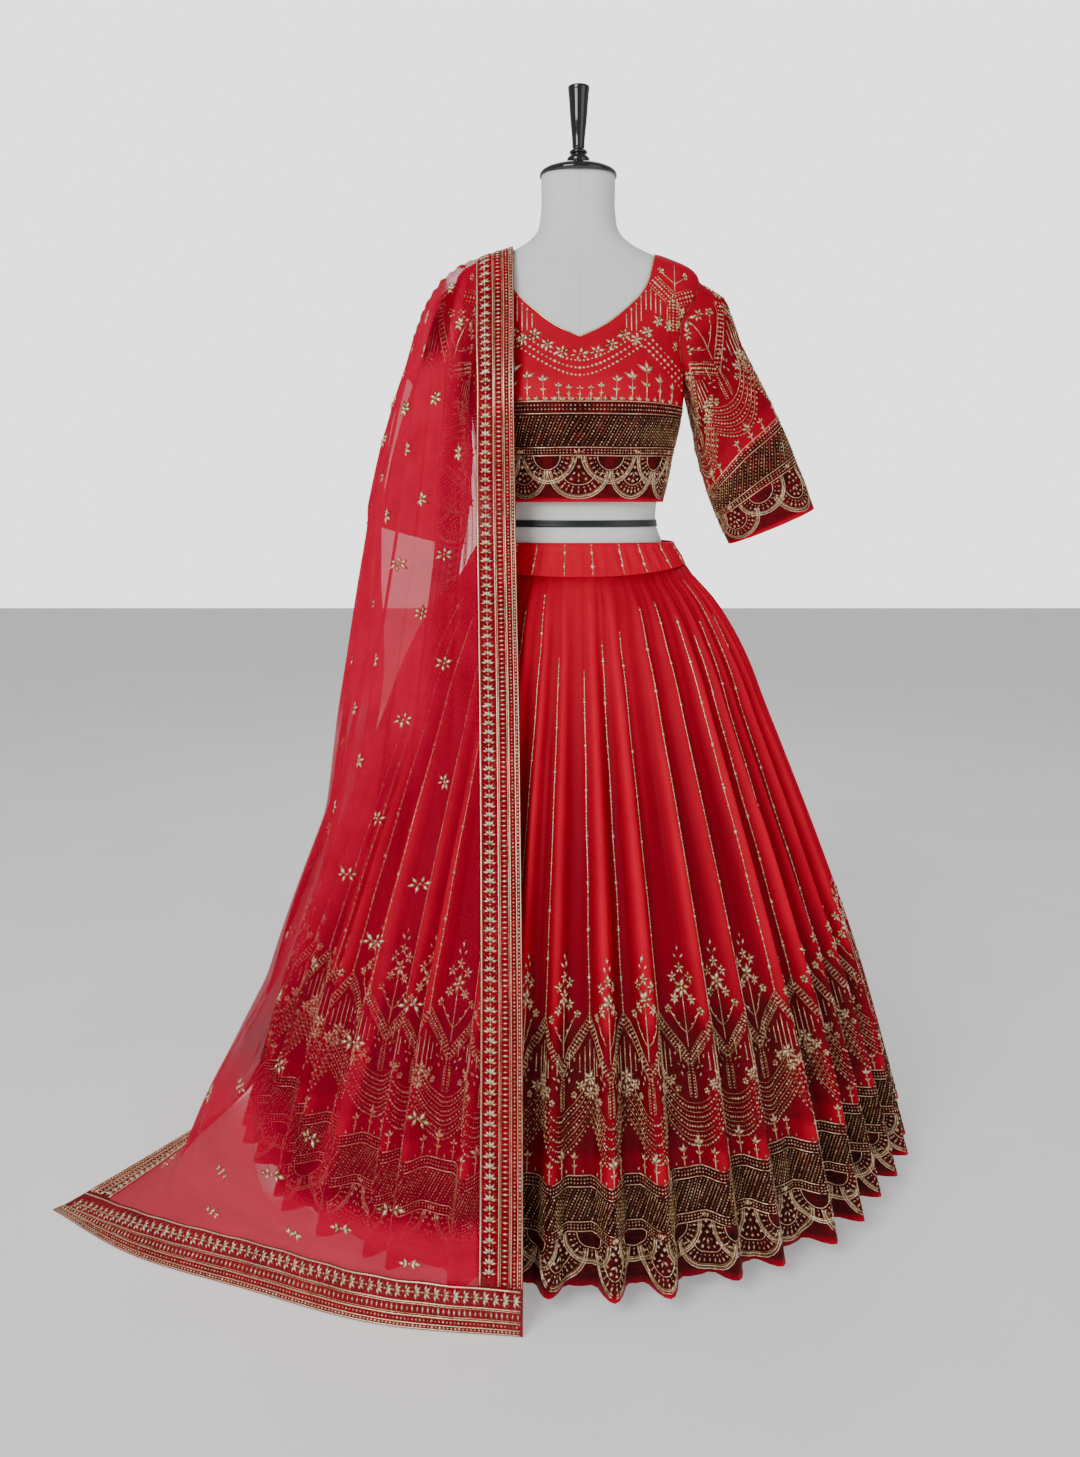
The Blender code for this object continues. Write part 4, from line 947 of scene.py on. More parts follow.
def stole_border(on, start, end, width, outer_first):
    """The dupatta's border: laid lines, rows of dots, upright dashes and a row of small palmettes."""
    def level(share):
        return width * (share if outer_first else 1 - share)

    line = np.linspace(start, end, max(int((end - start) / 0.014), 2))
    for share, wide, tone in STOLE_LINES:
        on.threads(line, level(share), wide, tone)
    fine = np.arange(start + 0.003, end, 0.0048)
    on.beads(fine, level(0.072), 0.0016, 0.0013, shade=0.82)
    on.beads(fine + 0.0012, level(0.195), 0.0013, shade=0.62)
    on.beads(np.arange(start + 0.003, end, 0.0066), level(0.41), 0.0012, 0.0036, 0.0, 0.82)
    leaves = np.arange(start + 0.008, end - 0.004, 0.0125)
    for turn, far, long_way in PALMETTE_LEAVES:
        on.petal(leaves, level(0.76), far, math.pi + turn, long_way, 0.0015, 0.82)
    on.beads(leaves + 0.0030, level(0.76), 0.0014, shade=0.7)


def woven_group():
    """A shader group for woven cloth: crossing threads and a slow, uneven tone."""
    group = bpy.data.node_groups.new("woven cloth", "ShaderNodeTree")
    group.interface.new_socket("Vector", in_out="INPUT", socket_type="NodeSocketVector")
    for way, names in (("INPUT", ("Threads", "Unevenness")), ("OUTPUT", ("Height", "Tone"))):
        for name in names:
            group.interface.new_socket(name, in_out=way, socket_type="NodeSocketFloat")
    nodes, links = group.nodes, group.links
    start, end = nodes.new("NodeGroupInput"), nodes.new("NodeGroupOutput")
    waves = []
    for direction in ("X", "Y"):
        wave = nodes.new("ShaderNodeTexWave")
        wave.bands_direction = direction
        wave.inputs["Distortion"].default_value = 0.6
        wave.inputs["Detail"].default_value = 1.0
        links.new(start.outputs["Vector"], wave.inputs["Vector"])
        links.new(start.outputs["Threads"], wave.inputs["Scale"])
        waves.append(wave)
    crossed = nodes.new("ShaderNodeMath")
    crossed.operation = "MULTIPLY"
    links.new(waves[0].outputs["Fac"], crossed.inputs[0])
    links.new(waves[1].outputs["Fac"], crossed.inputs[1])
    links.new(crossed.outputs[0], end.inputs["Height"])
    slow = nodes.new("ShaderNodeTexNoise")
    slow.inputs["Detail"].default_value = 4.0
    slow.inputs["Roughness"].default_value = 0.6
    links.new(start.outputs["Vector"], slow.inputs["Vector"])
    links.new(start.outputs["Unevenness"], slow.inputs["Scale"])
    links.new(slow.outputs["Fac"], end.inputs["Tone"])
    return group


class Finish:
    """A material with its shader and short ways to add and join nodes."""

    def __init__(self, name, roughness=0.6, metallic=0.0, **fixed):
        self.material = bpy.data.materials.new(name)
        self.material.use_nodes = True
        self.nodes, self.links = self.material.node_tree.nodes, self.material.node_tree.links
        self.shader = self.nodes["Principled BSDF"]
        self.shader.inputs["Roughness"].default_value = roughness
        self.shader.inputs["Metallic"].default_value = metallic
        for socket, value in fixed.items():
            self.shader.inputs[socket.replace("_", " ")].default_value = value

    def add(self, kind, **values):
        """Adds a node; values name its inputs."""
        node = self.nodes.new(kind)
        for socket, value in values.items():
            node.inputs[socket.replace("_", " ")].default_value = value
        return node

    def join(self, out, into):
        self.links.new(out, into)

    def places(self, object_space=False):
        """The fabric's own flat places, or the object's."""
        if object_space:
            return self.add("ShaderNodeTexCoord").outputs["Object"]
        node = self.add("ShaderNodeUVMap")
        node.uv_map = "fabric"
        return node.outputs["UV"]

    def woven(self, places, threads, unevenness, group):
        """The woven group read at some places."""
        node = self.nodes.new("ShaderNodeGroup")
        node.node_tree = group
        node.inputs["Threads"].default_value = threads
        node.inputs["Unevenness"].default_value = unevenness
        self.join(places, node.inputs["Vector"])
        return node

    def ramp(self, factor, stops, smooth=False):
        """A colour ramp with stops (place, colour)."""
        node = self.add("ShaderNodeValToRGB")
        band = node.color_ramp
        band.interpolation = "EASE" if smooth else "LINEAR"
        while len(band.elements) > 1:
            band.elements.remove(band.elements[-1])
        for number, (place, colour) in enumerate(stops):
            stop = band.elements[0] if number == 0 else band.elements.new(place)
            stop.position, stop.color = place, (*colour, 1.0)
        self.join(factor, node.inputs["Fac"])
        return node.outputs["Color"]

    def feed(self, value, socket):
        """Joins a socket to another, or gives it a number or a colour."""
        if isinstance(value, bpy.types.NodeSocket):
            self.join(value, socket)
        else:
            socket.default_value = value if np.isscalar(value) else (*value, 1.0)

    def mix(self, factor, first, second):
        """A colour mix; factor, first and second are sockets or values."""
        node = self.nodes.new("ShaderNodeMix")
        node.data_type = "RGBA"
        for value, number in ((factor, 0), (first, 6), (second, 7)):
            self.feed(value, node.inputs[number])
        return node.outputs[2]

    def maths(self, operation, first, second):
        """A maths node; first and second are sockets or numbers."""
        node = self.nodes.new("ShaderNodeMath")
        node.operation = operation
        self.feed(first, node.inputs[0])
        self.feed(second, node.inputs[1])
        return node.outputs[0]

    def times(self, first, second):
        return self.maths("MULTIPLY", first, second)

    def plus(self, first, second):
        return self.maths("ADD", first, second)

    def bump(self, height, distance, strength=1.0):
        """Fine relief from a height."""
        node = self.add("ShaderNodeBump", Strength=strength, Distance=distance)
        self.join(height, node.inputs["Height"])
        self.join(node.outputs["Normal"], self.shader.inputs["Normal"])

    def texture(self, kind, places, out="Fac", **values):
        """A texture read at some places."""
        node = self.add(f"ShaderNodeTex{kind}", **values)
        self.join(places, node.inputs["Vector"])
        return node.outputs[out]

    def mark(self, name):
        """A value that the mesh's points carry."""
        node = self.add("ShaderNodeAttribute")
        node.attribute_name = name
        return node.outputs["Fac"]

    def colour(self, out):
        self.join(out, self.shader.inputs["Base Color"])


# How dark the ground is under the sewing, each (height on the fabric, how dark): painted shade between close
# threads and beads, with the dark of dense thread.
SKIRT_GROUND = (
    (0.000, 0.00), (0.003, 0.25), (0.010, 0.88), (0.062, 0.96), (0.067, 0.92), (0.078, 0.92), (0.080, 1.00),
    (0.120, 1.00), (0.122, 0.92), (0.135, 0.90), (0.138, 0.26), (0.156, 0.26), (0.168, 0.60), (0.240, 0.66),
    (0.262, 0.74), (0.316, 0.64), (0.336, 0.26), (0.396, 0.10), (0.420, 0.00),
)
BLOUSE_GROUND = (
    (0.000, 0.00), (0.003, 0.20), (0.008, 0.88), (0.060, 0.96), (0.067, 0.92), (0.078, 0.92), (0.080, 1.00),
    (0.120, 1.00), (0.122, 0.92), (0.135, 0.90), (0.138, 0.14), (0.160, 0.12), (0.176, 0.22), (0.215, 0.30),
    (0.345, 0.24),
)

PLAIN_GROUND = ((0.0, 0.0), (0.1, 0.0))
# The sleeves take the skirt's painted shade under the sewing, a little lower and never below 0.42 above the
# very hem.
SLEEVE_GROUND = tuple(
    (height * 0.85, max(cover * 0.95, 0.42 if height > 0.01 else 0.0)) for height, cover in SKIRT_GROUND
)


def red_cloth(name, group, settings, ground, span):
    """Soft satin georgette, with painted shade where the sewing is close and down between the pleats."""
    made = Finish(name, 0.55, 0.0, Sheen_Weight=0.10, Sheen_Roughness=0.4, Sheen_Tint=(1.0, 0.03, 0.05, 1.0),
                  Specular_IOR_Level=0.08)
    places = made.places()
    weave = made.woven(places, 900.0, 14.0, group)
    bright = made.mix(weave.outputs["Tone"], settings.red_deep, settings.red_bright)
    split = made.add("ShaderNodeSeparateXYZ")
    made.join(places, split.inputs[0])
    part = made.maths("DIVIDE", split.outputs["Y"], span)
    cover = made.ramp(part, [(height / span, (value,) * 3) for height, value in ground])
    speck = made.maths("LESS_THAN", made.texture("Voronoi", places, "Distance", Scale=300.0), 0.34)
    uneven = made.texture("Noise", places, Scale=60.0, Detail=3.0)
    sewing_shade_here = made.times(cover, made.plus(made.times(uneven, 0.5), 0.75))
    fine = made.times(made.times(speck, cover), 0.24)
    # Painted shade: the georgette turns darker down between the pleats, by the hollow mark.
    sunk = made.mix(made.mark("hollow"), bright, settings.red_pleat_shade)
    # Painted shade under close sewing, with the dark of dense thread: the ground turns maroon as the table
    # says.
    shaded_ground_colour = made.mix(sewing_shade_here, sunk, settings.red_shadow)
    made.colour(made.mix(fine, shaded_ground_colour, settings.gold_dark))
    made.bump(weave.outputs["Height"], 0.00008, 0.35)
    return made.material


def gold_work(name, settings):
    """Gold thread, sequins and small beads, each piece of its own tone."""
    made = Finish(name, 0.30, 0.72, Specular_IOR_Level=0.6)
    stops = (
        (0.0, settings.gold_dark), (0.35, settings.gold_old), (0.62, settings.gold_pale),
        (1.0, settings.gold_cream),
    )
    grain = made.texture("Noise", made.places(object_space=True), Scale=420.0, Detail=2.0)
    shift = made.times(made.maths("SUBTRACT", grain, 0.5), 0.45)
    made.colour(made.ramp(made.plus(made.mark("shade"), shift), [(p, tuple(c)) for p, c in stops]))
    made.join(made.plus(made.times(grain, 0.25), 0.16), made.shader.inputs["Roughness"])
    return made.material


def sheer_net(name, group, settings, cover, stitched=False):
    """Sheer red net: see-through between its threads, closer where it lies in folds or is sewn."""
    made = Finish(name, 0.60, 0.0, Sheen_Weight=0.05, Sheen_Roughness=0.4, Sheen_Tint=(1.0, 0.05, 0.08, 1.0),
                  Specular_IOR_Level=0.05)
    places = made.places()
    weave = made.woven(places, 300.0, 18.0, group)
    made.colour(made.mix(weave.outputs["Tone"], settings.net_deep, settings.net_bright))
    threads = made.times(weave.outputs["Height"], 0.12)
    doubled = made.times(made.mark("folded"), 0.60)
    made.join(made.plus(made.plus(threads, doubled), cover), made.shader.inputs["Alpha"])
    made.bump(weave.outputs["Height"], 0.0001, 0.3)
    if stitched:
        cell = made.texture("Voronoi", places, "Distance", Scale=260.0)
        speck = made.times(made.maths("LESS_THAN", cell, 0.26), 0.16)
        # The border's ground darkens towards the maroon of the painted sewing shade, mixed with deep red by
        # the weave's tone.
        ground = made.mix(weave.outputs["Tone"], settings.red_shadow, settings.red_deep)
        made.colour(made.mix(speck, ground, settings.gold_old))
    return made.material


def form_cover(name, group, settings):
    """Matt pale jersey with a faint seam down the middle of the front and back."""
    made = Finish(name, 0.82, 0.0, Sheen_Weight=0.15, Sheen_Roughness=0.6, Specular_IOR_Level=0.2)
    weave = made.woven(made.places(), 1100.0, 7.0, group)
    plain = made.mix(weave.outputs["Tone"], settings.cover_shade, settings.cover)
    split = made.add("ShaderNodeSeparateXYZ")
    made.join(made.places(object_space=True), split.inputs[0])
    off = made.maths("ABSOLUTE", split.outputs["X"], 0.0)
    seam = made.maths("LESS_THAN", off, 0.0006)
    made.colour(made.mix(made.times(seam, 0.28), plain, settings.cover_seam))
    relief = made.maths("SUBTRACT", weave.outputs["Height"], made.times(seam, 1.5))
    made.bump(relief, 0.0001, 0.4)
    return made.material


def hard_finish(name, colour, roughness, metallic, grain, coat=0.0, depth=0.00004):
    """A lacquered or metal surface with fine uneven polish."""
    made = Finish(name, roughness, metallic, Coat_Weight=coat, Coat_Roughness=0.06)
    noise = made.texture("Noise", made.places(object_space=True), Scale=grain, Detail=5.0)
    lighter = tuple(min(1.0, value * 1.35 + 0.004) for value in colour)
    made.colour(made.mix(noise, colour, lighter))
    worn = made.plus(made.times(noise, roughness * 0.7), roughness * 0.6)
    made.join(worn, made.shader.inputs["Roughness"])
    made.bump(noise, depth, 0.25)
    return made.material


def satin_tape(name):
    """Black satin tape with fine cross ribs."""
    made = Finish(name, 0.32, 0.0, Sheen_Weight=0.3)
    wave = made.texture("Wave", made.places(), Scale=260.0, Distortion=0.4)
    made.colour(made.ramp(wave, [(0.0, (0.004, 0.006, 0.008)), (1.0, (0.016, 0.022, 0.026))]))
    made.bump(wave, 0.00012, 0.5)
    return made.material


def colour_setting(name, description, default):
    """A colour that a user may change."""
    return bpy.props.FloatVectorProperty(
        name=name, description=description, default=default, subtype="COLOR", size=3, min=0.0, max=1.0
    )


def length_setting(name, description, default):
    """A length that a user may change, in metres."""
    return bpy.props.FloatProperty(
        name=name, description=description, default=default, unit="LENGTH", min=0.0
    )


def strength_setting(name, description, default):
    """The strength of a light that a user may change."""
    return bpy.props.FloatProperty(name=name, description=description, default=default, min=0.0)


class LehengaColours(bpy.types.PropertyGroup):
    """Colours of cloth, gold work and dress form."""

    red_bright: colour_setting("Bright red", "Georgette where it lies smooth", (0.84, 0.000, 0.034))
    red_deep: colour_setting("Deep red", "Georgette where its dye is deeper", (0.58, 0.000, 0.022))
    # Painted shade down between the pleats.
    red_pleat_shade: colour_setting("Hollow red", "Georgette down between the pleats", (0.17, 0.000, 0.008))
    # Painted shade of the ground between close sewing, with the dark of dense thread.
    red_shadow: colour_setting("Maroon", "Ground between close sewing", (0.024, 0.0008, 0.0016))
    net_bright: colour_setting("Bright net", "Sheer net in its lighter patches", (0.86, 0.004, 0.060))
    net_deep: colour_setting("Deep net", "Sheer net in its deeper patches", (0.55, 0.000, 0.028))
    gold_dark: colour_setting("Dark gold", "Antique thread in the shade of others", (0.13, 0.034, 0.014))
    gold_old: colour_setting("Old gold", "Antique gold thread", (0.46, 0.27, 0.11))
    gold_pale: colour_setting("Pale gold", "Gold thread and petals", (0.90, 0.62, 0.36))
    gold_cream: colour_setting("Cream gold", "Sequins and the lightest beads", (1.0, 0.86, 0.66))
    cover: colour_setting("Form cover", "Jersey of the dress form", (0.88, 0.93, 0.895))
    cover_shade: colour_setting("Form cover, shaded", "Greyer patches of the jersey", (0.80, 0.85, 0.82))
    cover_seam: colour_setting("Form seam", "Seam of the jersey", (0.45, 0.50, 0.48))
    gloss_black: colour_setting("Gloss black", "Neck cap and finial", (0.006, 0.007, 0.009))


class LehengaSizes(bpy.types.PropertyGroup):
    """Sizes of walls, piping and sewing."""

    cloth_wall: length_setting("Cloth wall", "Thickness of blouse, skirt and waistband", 0.0015)
    net_wall: length_setting("Net wall", "Thickness of the net", 0.001)
    border_wall: length_setting("Border wall", "Thickness of the dupatta's borders", 0.0012)
    piping: length_setting("Piping", "Width of the piping at the neck", 0.0030)
    repeats: bpy.props.IntProperty(
        name="Border repeats", description="Scallops round the hem", default=52, min=12
    )


class LehengaStage(bpy.types.PropertyGroup):
    """Camera, lights and floor."""

    camera_place: bpy.props.FloatVectorProperty(
        name="Camera place", description="Where the camera stands", default=(-0.055, -1.75, 1.0),
        subtype="TRANSLATION", unit="LENGTH", size=3,
    )
    camera_tilt: bpy.props.FloatProperty(
        name="Camera tilt", description="How far the camera looks down", default=math.radians(11.4),
        subtype="ANGLE",
    )
    camera_lens: bpy.props.FloatProperty(
        name="Lens", description="Focal length in millimetres", default=1130 / 1457 * 36, min=5.0
    )
    key_power: strength_setting("Key light", "Power of the key light", 72.0)
    fill_power: strength_setting("Fill light", "Power of the fill light", 16.0)
    sky: strength_setting("Sky", "Strength of the plain sky", 0.32)
    backdrop: strength_setting("Backdrop", "Brightness of the plain backdrop", 2.3)
    floor_glow: strength_setting("Floor glow", "Soft light of the floor", 0.30)
    floor_colour: colour_setting("Floor", "Plain pale floor", (0.86, 0.86, 0.855))


FINISHES = {}


def settings(context):
    """The colours, sizes and stage of the scene."""
    scene = context.scene
    return scene.lehenga_colours, scene.lehenga_sizes, scene.lehenga_stage


def finish_of(kind, context):
    """One of the object's materials, made once."""
    if kind in FINISHES:
        return FINISHES[kind]
    colours, _, _ = settings(context)
    if "weave" not in FINISHES:
        FINISHES["weave"] = woven_group()
    weave = FINISHES["weave"]
    makers = {
        "skirt cloth": (red_cloth, "skirt georgette", weave, colours, SKIRT_GROUND, 0.42),
        "blouse cloth": (red_cloth, "blouse georgette", weave, colours, BLOUSE_GROUND, 0.345),
        "sleeve cloth": (red_cloth, "sleeve georgette", weave, colours, SLEEVE_GROUND, 0.345),
        "plain cloth": (red_cloth, "waistband georgette", weave, colours, PLAIN_GROUND, 0.1),
        "gold work": (gold_work, "gold sewing", colours),
        "net": (sheer_net, "sheer red net", weave, colours, 0.055),
        "border net": (sheer_net, "stitched border net", weave, colours, 0.80, True),
        "cover": (form_cover, "form jersey", weave, colours),
        "gloss": (hard_finish, "gloss black", tuple(colours.gloss_black), 0.09, 0.0, 60.0, 0.6, 0.00001),
        "tape": (satin_tape, "black satin tape"),
        "steel": (hard_finish, "brushed steel", (0.55, 0.56, 0.57), 0.30, 1.0, 240.0),
        "base": (hard_finish, "satin black paint", (0.012, 0.013, 0.014), 0.42, 0.2, 300.0),
    }
    maker, *facts = makers[kind]
    FINISHES[kind] = maker(*facts)
    return FINISHES[kind]


def facing_out(points, places, rows, centre):
    """A Cloth whose face points away from a centre line; its columns are turned round if they have to be."""
    right = points[1:-1, 2:] - points[1:-1, :-2]
    up = points[2:, 1:-1] - points[:-2, 1:-1]
    away = points[1:-1, 1:-1] - centre
    away[..., 2] *= 0.2
    if (np.cross(right, up) * away).sum() < 0:
        points, places = points[:, ::-1], places[-1] - places[::-1]
    return Cloth(np.ascontiguousarray(points), places, rows)


FACE_RADIUS = 0.15


def blouse_rows():
    """Heights of the blouse's rows; those at the armhole are the sleeve ring's heights."""
    low = np.linspace(BLOUSE_BOTTOM, ARMHOLE_BOTTOM, 48)
    ring_rows = ARMHOLE_MIDDLE + ARMHOLE_HALF * np.cos(np.linspace(math.pi, 0, SLEEVE_AROUND // 2 + 1))
    high = np.linspace(ARMHOLE_TOP, NECK_POINT_HEIGHT, 10)
    return np.unique(np.round(np.concatenate([low, ring_rows, high, [FRONT_NECK[0][0], BACK_NECK[0][0]]]), 7))


SLEEVE_AROUND = 96
# Soft creases of the blouse, each (ring angle, height, length, lean, half width, depth).
BLOUSE_CREASES = (
    (1.30, 1.150, 0.040, 0.9, 0.0060, -0.0014), (1.16, 1.128, 0.045, 0.7, 0.0065, 0.0016),
    (-1.30, 1.146, 0.042, -0.9, 0.0060, -0.0014), (1.38, 1.060, 0.035, 0.3, 0.0080, -0.0014),
    (-1.36, 1.070, 0.035, -0.4, 0.0080, -0.0014), (0.95, 1.030, 0.030, -0.5, 0.0080, 0.0012),
    (1.80, 1.150, 0.045, -0.8, 0.0065, -0.0014), (-1.82, 1.145, 0.045, 0.8, 0.0065, -0.0014),
    (2.45, 1.080, 0.040, 0.3, 0.0085, 0.0014), (-2.50, 1.070, 0.040, -0.3, 0.0085, 0.0014),
)


def blouse_surface(angle, height):
    """The blouse's outside with its soft creases; they end before the edges."""
    spot = blouse(angle, height)
    out = 0 * angle
    for at_angle, at_height, run, lean, wide, depth in BLOUSE_CREASES:
        du, dv = (angle - at_angle) * FACE_RADIUS, height - at_height
        long_way = du * math.sin(lean) + dv * math.cos(lean)
        short_way = du * math.cos(lean) - dv * math.sin(lean)
        out = out + depth * np.exp(-((long_way / run) ** 2) - (short_way / wide) ** 2)
    edge = np.clip((height - BLOUSE_BOTTOM) / 0.02, 0, 1)
    radius = np.hypot(spot[..., 0], spot[..., 1])
    spot[..., :2] *= (1 + out * edge / radius)[..., None]
    return spot


def angle_of(x, height):
    """The ring angle at which the blouse's front lies a distance x from its middle."""
    low, high = np.full(x.shape, -math.pi / 2), np.full(x.shape, math.pi / 2)
    for _ in range(26):
        middle = (low + high) / 2
        beyond = blouse(middle, height)[..., 0] > x
        low, high = np.where(beyond, low, middle), np.where(beyond, middle, high)
    return (low + high) / 2


def blouse_half(neck, behind):
    """Half of the blouse's front or back, from the neckline and middle out to armhole and side."""
    rows = blouse_rows()
    shares = np.linspace(0, 1, 45)
    inner = neck_angle(neck, rows)[:, None]
    outer = (math.pi / 2 - armhole_turn(rows))[:, None]
    angle = inner + (outer - inner) * shares
    height = rows[:, None] + 0 * angle
    points = blouse_surface(math.pi - angle if behind else angle, height)
    points[:, 0, 0] = np.where(inner[:, 0] <= 0, 0.0, points[:, 0, 0])
    return facing_out(points, shares * 0.23, rows - BLOUSE_BOTTOM, np.array([0.0, 0.0, 1.15]))


class LEHENGA_OT_form(bpy.types.Operator):
    """Dress form: jersey body, black cap, turned finial and waist tape, and finishes for pole and base"""

    bl_idname = "lehenga.dress_form"
    bl_label = "Dress form"

    def execute(self, context):
        heights = np.unique(np.concatenate([np.linspace(FORM_BOTTOM, NECK_TOP, 140), [1.327, 1.346]]))
        turns = np.linspace(0, 2 * math.pi, 145)
        angle, height = np.meshgrid(turns, heights)
        body = Cloth(torso(angle, height), turns * 0.14, heights)
        piece = cloth_piece("dress_form_body", body, 0.0015, "cover", context, closed=True)
        piece.modifiers.clear()
        shape = bmesh.new()
        shape.from_mesh(piece.data)
        bmesh.ops.holes_fill(shape, edges=[e for e in shape.edges if e.is_boundary], sides=0)
        shape.to_mesh(piece.data)
        shape.free()
        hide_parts("form_body")
        top = NECK_TOP + SEAM_GAP
        cap = [(0.0, top + CAP_HEIGHT)]
        for step in range(1, 15):
            turn = math.pi / 2 * step / 14
            rise = 0.003 + (CAP_HEIGHT - 0.003) * math.cos(turn)
            cap.append((CAP_RADIUS * math.sin(turn) ** 0.8, top + rise))
        cap += [(CAP_RADIUS, top + 0.001), (CAP_RADIUS - 0.001, top), (0.0, top)]
        turned("neck_cap_turned", cap, 96, finish_of("gloss", context), "neck_cap")
        foot = top + CAP_HEIGHT + SEAM_GAP
        heights = np.array([0.0, 0.0125, 0.06, 0.10, 0.135, 0.15, 0.185, 0.20, 0.24, 0.60, 0.95, 0.985])
        radii = np.array([12.5, 14.6, 16.5, 15.0, 10.0, 12.2, 12.0, 9.0, 8.8, 12.0, 15.0, 15.5]) / 1000
        fine = np.concatenate([np.linspace(0, 0.26, 40), np.linspace(0.28, 0.985, 24)])
        wide = smooth_through(heights, radii, fine)
        profile = [(0.0, 1.0), (0.0120, 1.0), (0.0148, 0.996), *zip(wide[::-1], fine[::-1])]
        profile = [(float(radius), foot + share * FINIAL_HEIGHT) for radius, share in profile]
        profile.append((0.0, foot))
        turned("finial_turned", profile, 64, finish_of("gloss", context), "finial")
        turns = np.linspace(0, 2 * math.pi, 161)
        rows = np.linspace(TAPE_HEIGHT - TAPE_WIDTH / 2, TAPE_HEIGHT + TAPE_WIDTH / 2, 6)
        angle, height = np.meshgrid(turns, rows)
        tape = Cloth(out_from_torso(angle, height, TAPE_EASE), turns * 0.10, rows - rows[0])
        piece = cloth_piece("waist_tape_satin", tape, 0.0010, "tape", context, closed=True)
        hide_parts("waist_tape")
        for node, kind in (("pole", "steel"), ("base", "base")):
            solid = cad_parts[node]
            solid.data.materials.clear()
            solid.data.materials.append(finish_of(kind, context))
        return {"FINISHED"}


def turned(name, profile, steps, finish, node):
    """A turned piece spun from its profile, (radius, height) from top to bottom."""
    shape = bmesh.new()
    corners = [shape.verts.new((radius, 0.0, height)) for radius, height in profile]
    edges = [shape.edges.new(pair) for pair in zip(corners, corners[1:])]
    bmesh.ops.spin(
        shape, geom=corners + edges, cent=(0, 0, 0), axis=(0, 0, 1), angle=2 * math.pi, steps=steps,
        use_merge=True,
    )
    bmesh.ops.remove_doubles(shape, verts=shape.verts, dist=0.00002)
    bmesh.ops.recalc_face_normals(shape, faces=shape.faces)
    mesh = bpy.data.meshes.new(name)
    shape.to_mesh(mesh)
    shape.free()
    mesh.shade_smooth()
    piece = show(name, mesh, finish)
    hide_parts(node)
    return piece


def sheet_facts(cloth, halves=1):
    """Works out a cloth's cut size and area from its own grid; nothing uses them."""
    width, length = cloth.measured()
    round(cloth.flat_area() * halves, 4)


def both_sides(turn, behind):
    """A ring angle on both sides of the blouse, in front or behind."""
    turn = math.pi - turn if behind else turn
    return -turn, turn


class LEHENGA_OT_blouse(bpy.types.Operator):
    """Blouse: front and back with soft creases, sewn bands, yoke work and neck piping"""

    bl_idname = "lehenga.blouse"
    bl_label = "Blouse"

    def execute(self, context):
        _, sizes, _ = settings(context)
        for name, node, neck, behind in (
            ("blouse_front", "choli_front", FRONT_NECK, False),
            ("blouse_back", "choli_back", BACK_NECK, True),
        ):
            half = blouse_half(neck, behind)
            piece = cloth_piece(name, half, sizes.cloth_wall, "blouse cloth", context)
            mirror = piece.modifiers.new("other half", "MIRROR")
            mirror.merge_threshold = 0.0001
            piece.modifiers.move(1, 0)
            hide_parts(node)
            sheet_facts(half, halves=2)
        turns = np.linspace(-math.pi, math.pi, 361)
        rows = blouse_rows()
        angle, height = np.meshgrid(turns, rows)
        points = blouse_surface(angle, height)
        us = turns * FACE_RADIUS
        face = Cloth(points, us, rows)
        low = Cloth(points, us, rows - BLOUSE_BOTTOM)

        def inside(neck, behind, margin=0.0035):
            def test(u, v):
                turn = np.abs(u / FACE_RADIUS)
                turn = math.pi - turn if behind else turn
                far = margin / FACE_RADIUS
                return (turn > neck_angle(neck, v) + np.where(v > neck[0][0] - margin, far, -1.0)) & (
                    turn < math.pi / 2 - armhole_turn(v) - np.where(armhole_turn(v) > 0, far, -0.2)
                )

            return test

        bands = Stitches(low, 11)
        hem_bands(bands, us[0], 11, (us[-1] - us[0]) / 11, 0.97)
        bands.piece("blouse_band_sewing", context)
        yoke = Stitches(face, 12, inside(FRONT_NECK, False))
        blouse_front_embroidery(yoke, lambda x, z: angle_of(x, z) * FACE_RADIUS)
        yoke.piece("blouse_front_sewing", context)
        back = Stitches(face, 13, inside(BACK_NECK, True))
        for start, end in ((us[0], us[0] / 2 - 0.002), (us[-1] / 2 + 0.002, us[-1])):
            blouse_back_embroidery(back, start, end)
        back.piece("blouse_back_sewing", context)
        piping = Stitches(face, 14)
        for neck, behind in ((FRONT_NECK, False), (BACK_NECK, True)):
            levels = np.linspace(neck[0][0] + 0.0004, NECK_POINT_HEIGHT - 0.0005, 60)
            for turn in both_sides(neck_angle(neck, levels), behind):
                piping.threads(turn * FACE_RADIUS, levels, sizes.piping * 0.55, 0.62, 0.35)
        levels = np.linspace(ARMHOLE_BOTTOM + 0.0005, ARMHOLE_TOP - 0.0005, 60)
        for behind in (False, True):
            for turn in both_sides(math.pi / 2 - armhole_turn(levels), behind):
                piping.threads(turn * FACE_RADIUS, levels, 0.0012, 0.15, 0.3)
        piping.piece("blouse_piping", context)
        return {"FINISHED"}


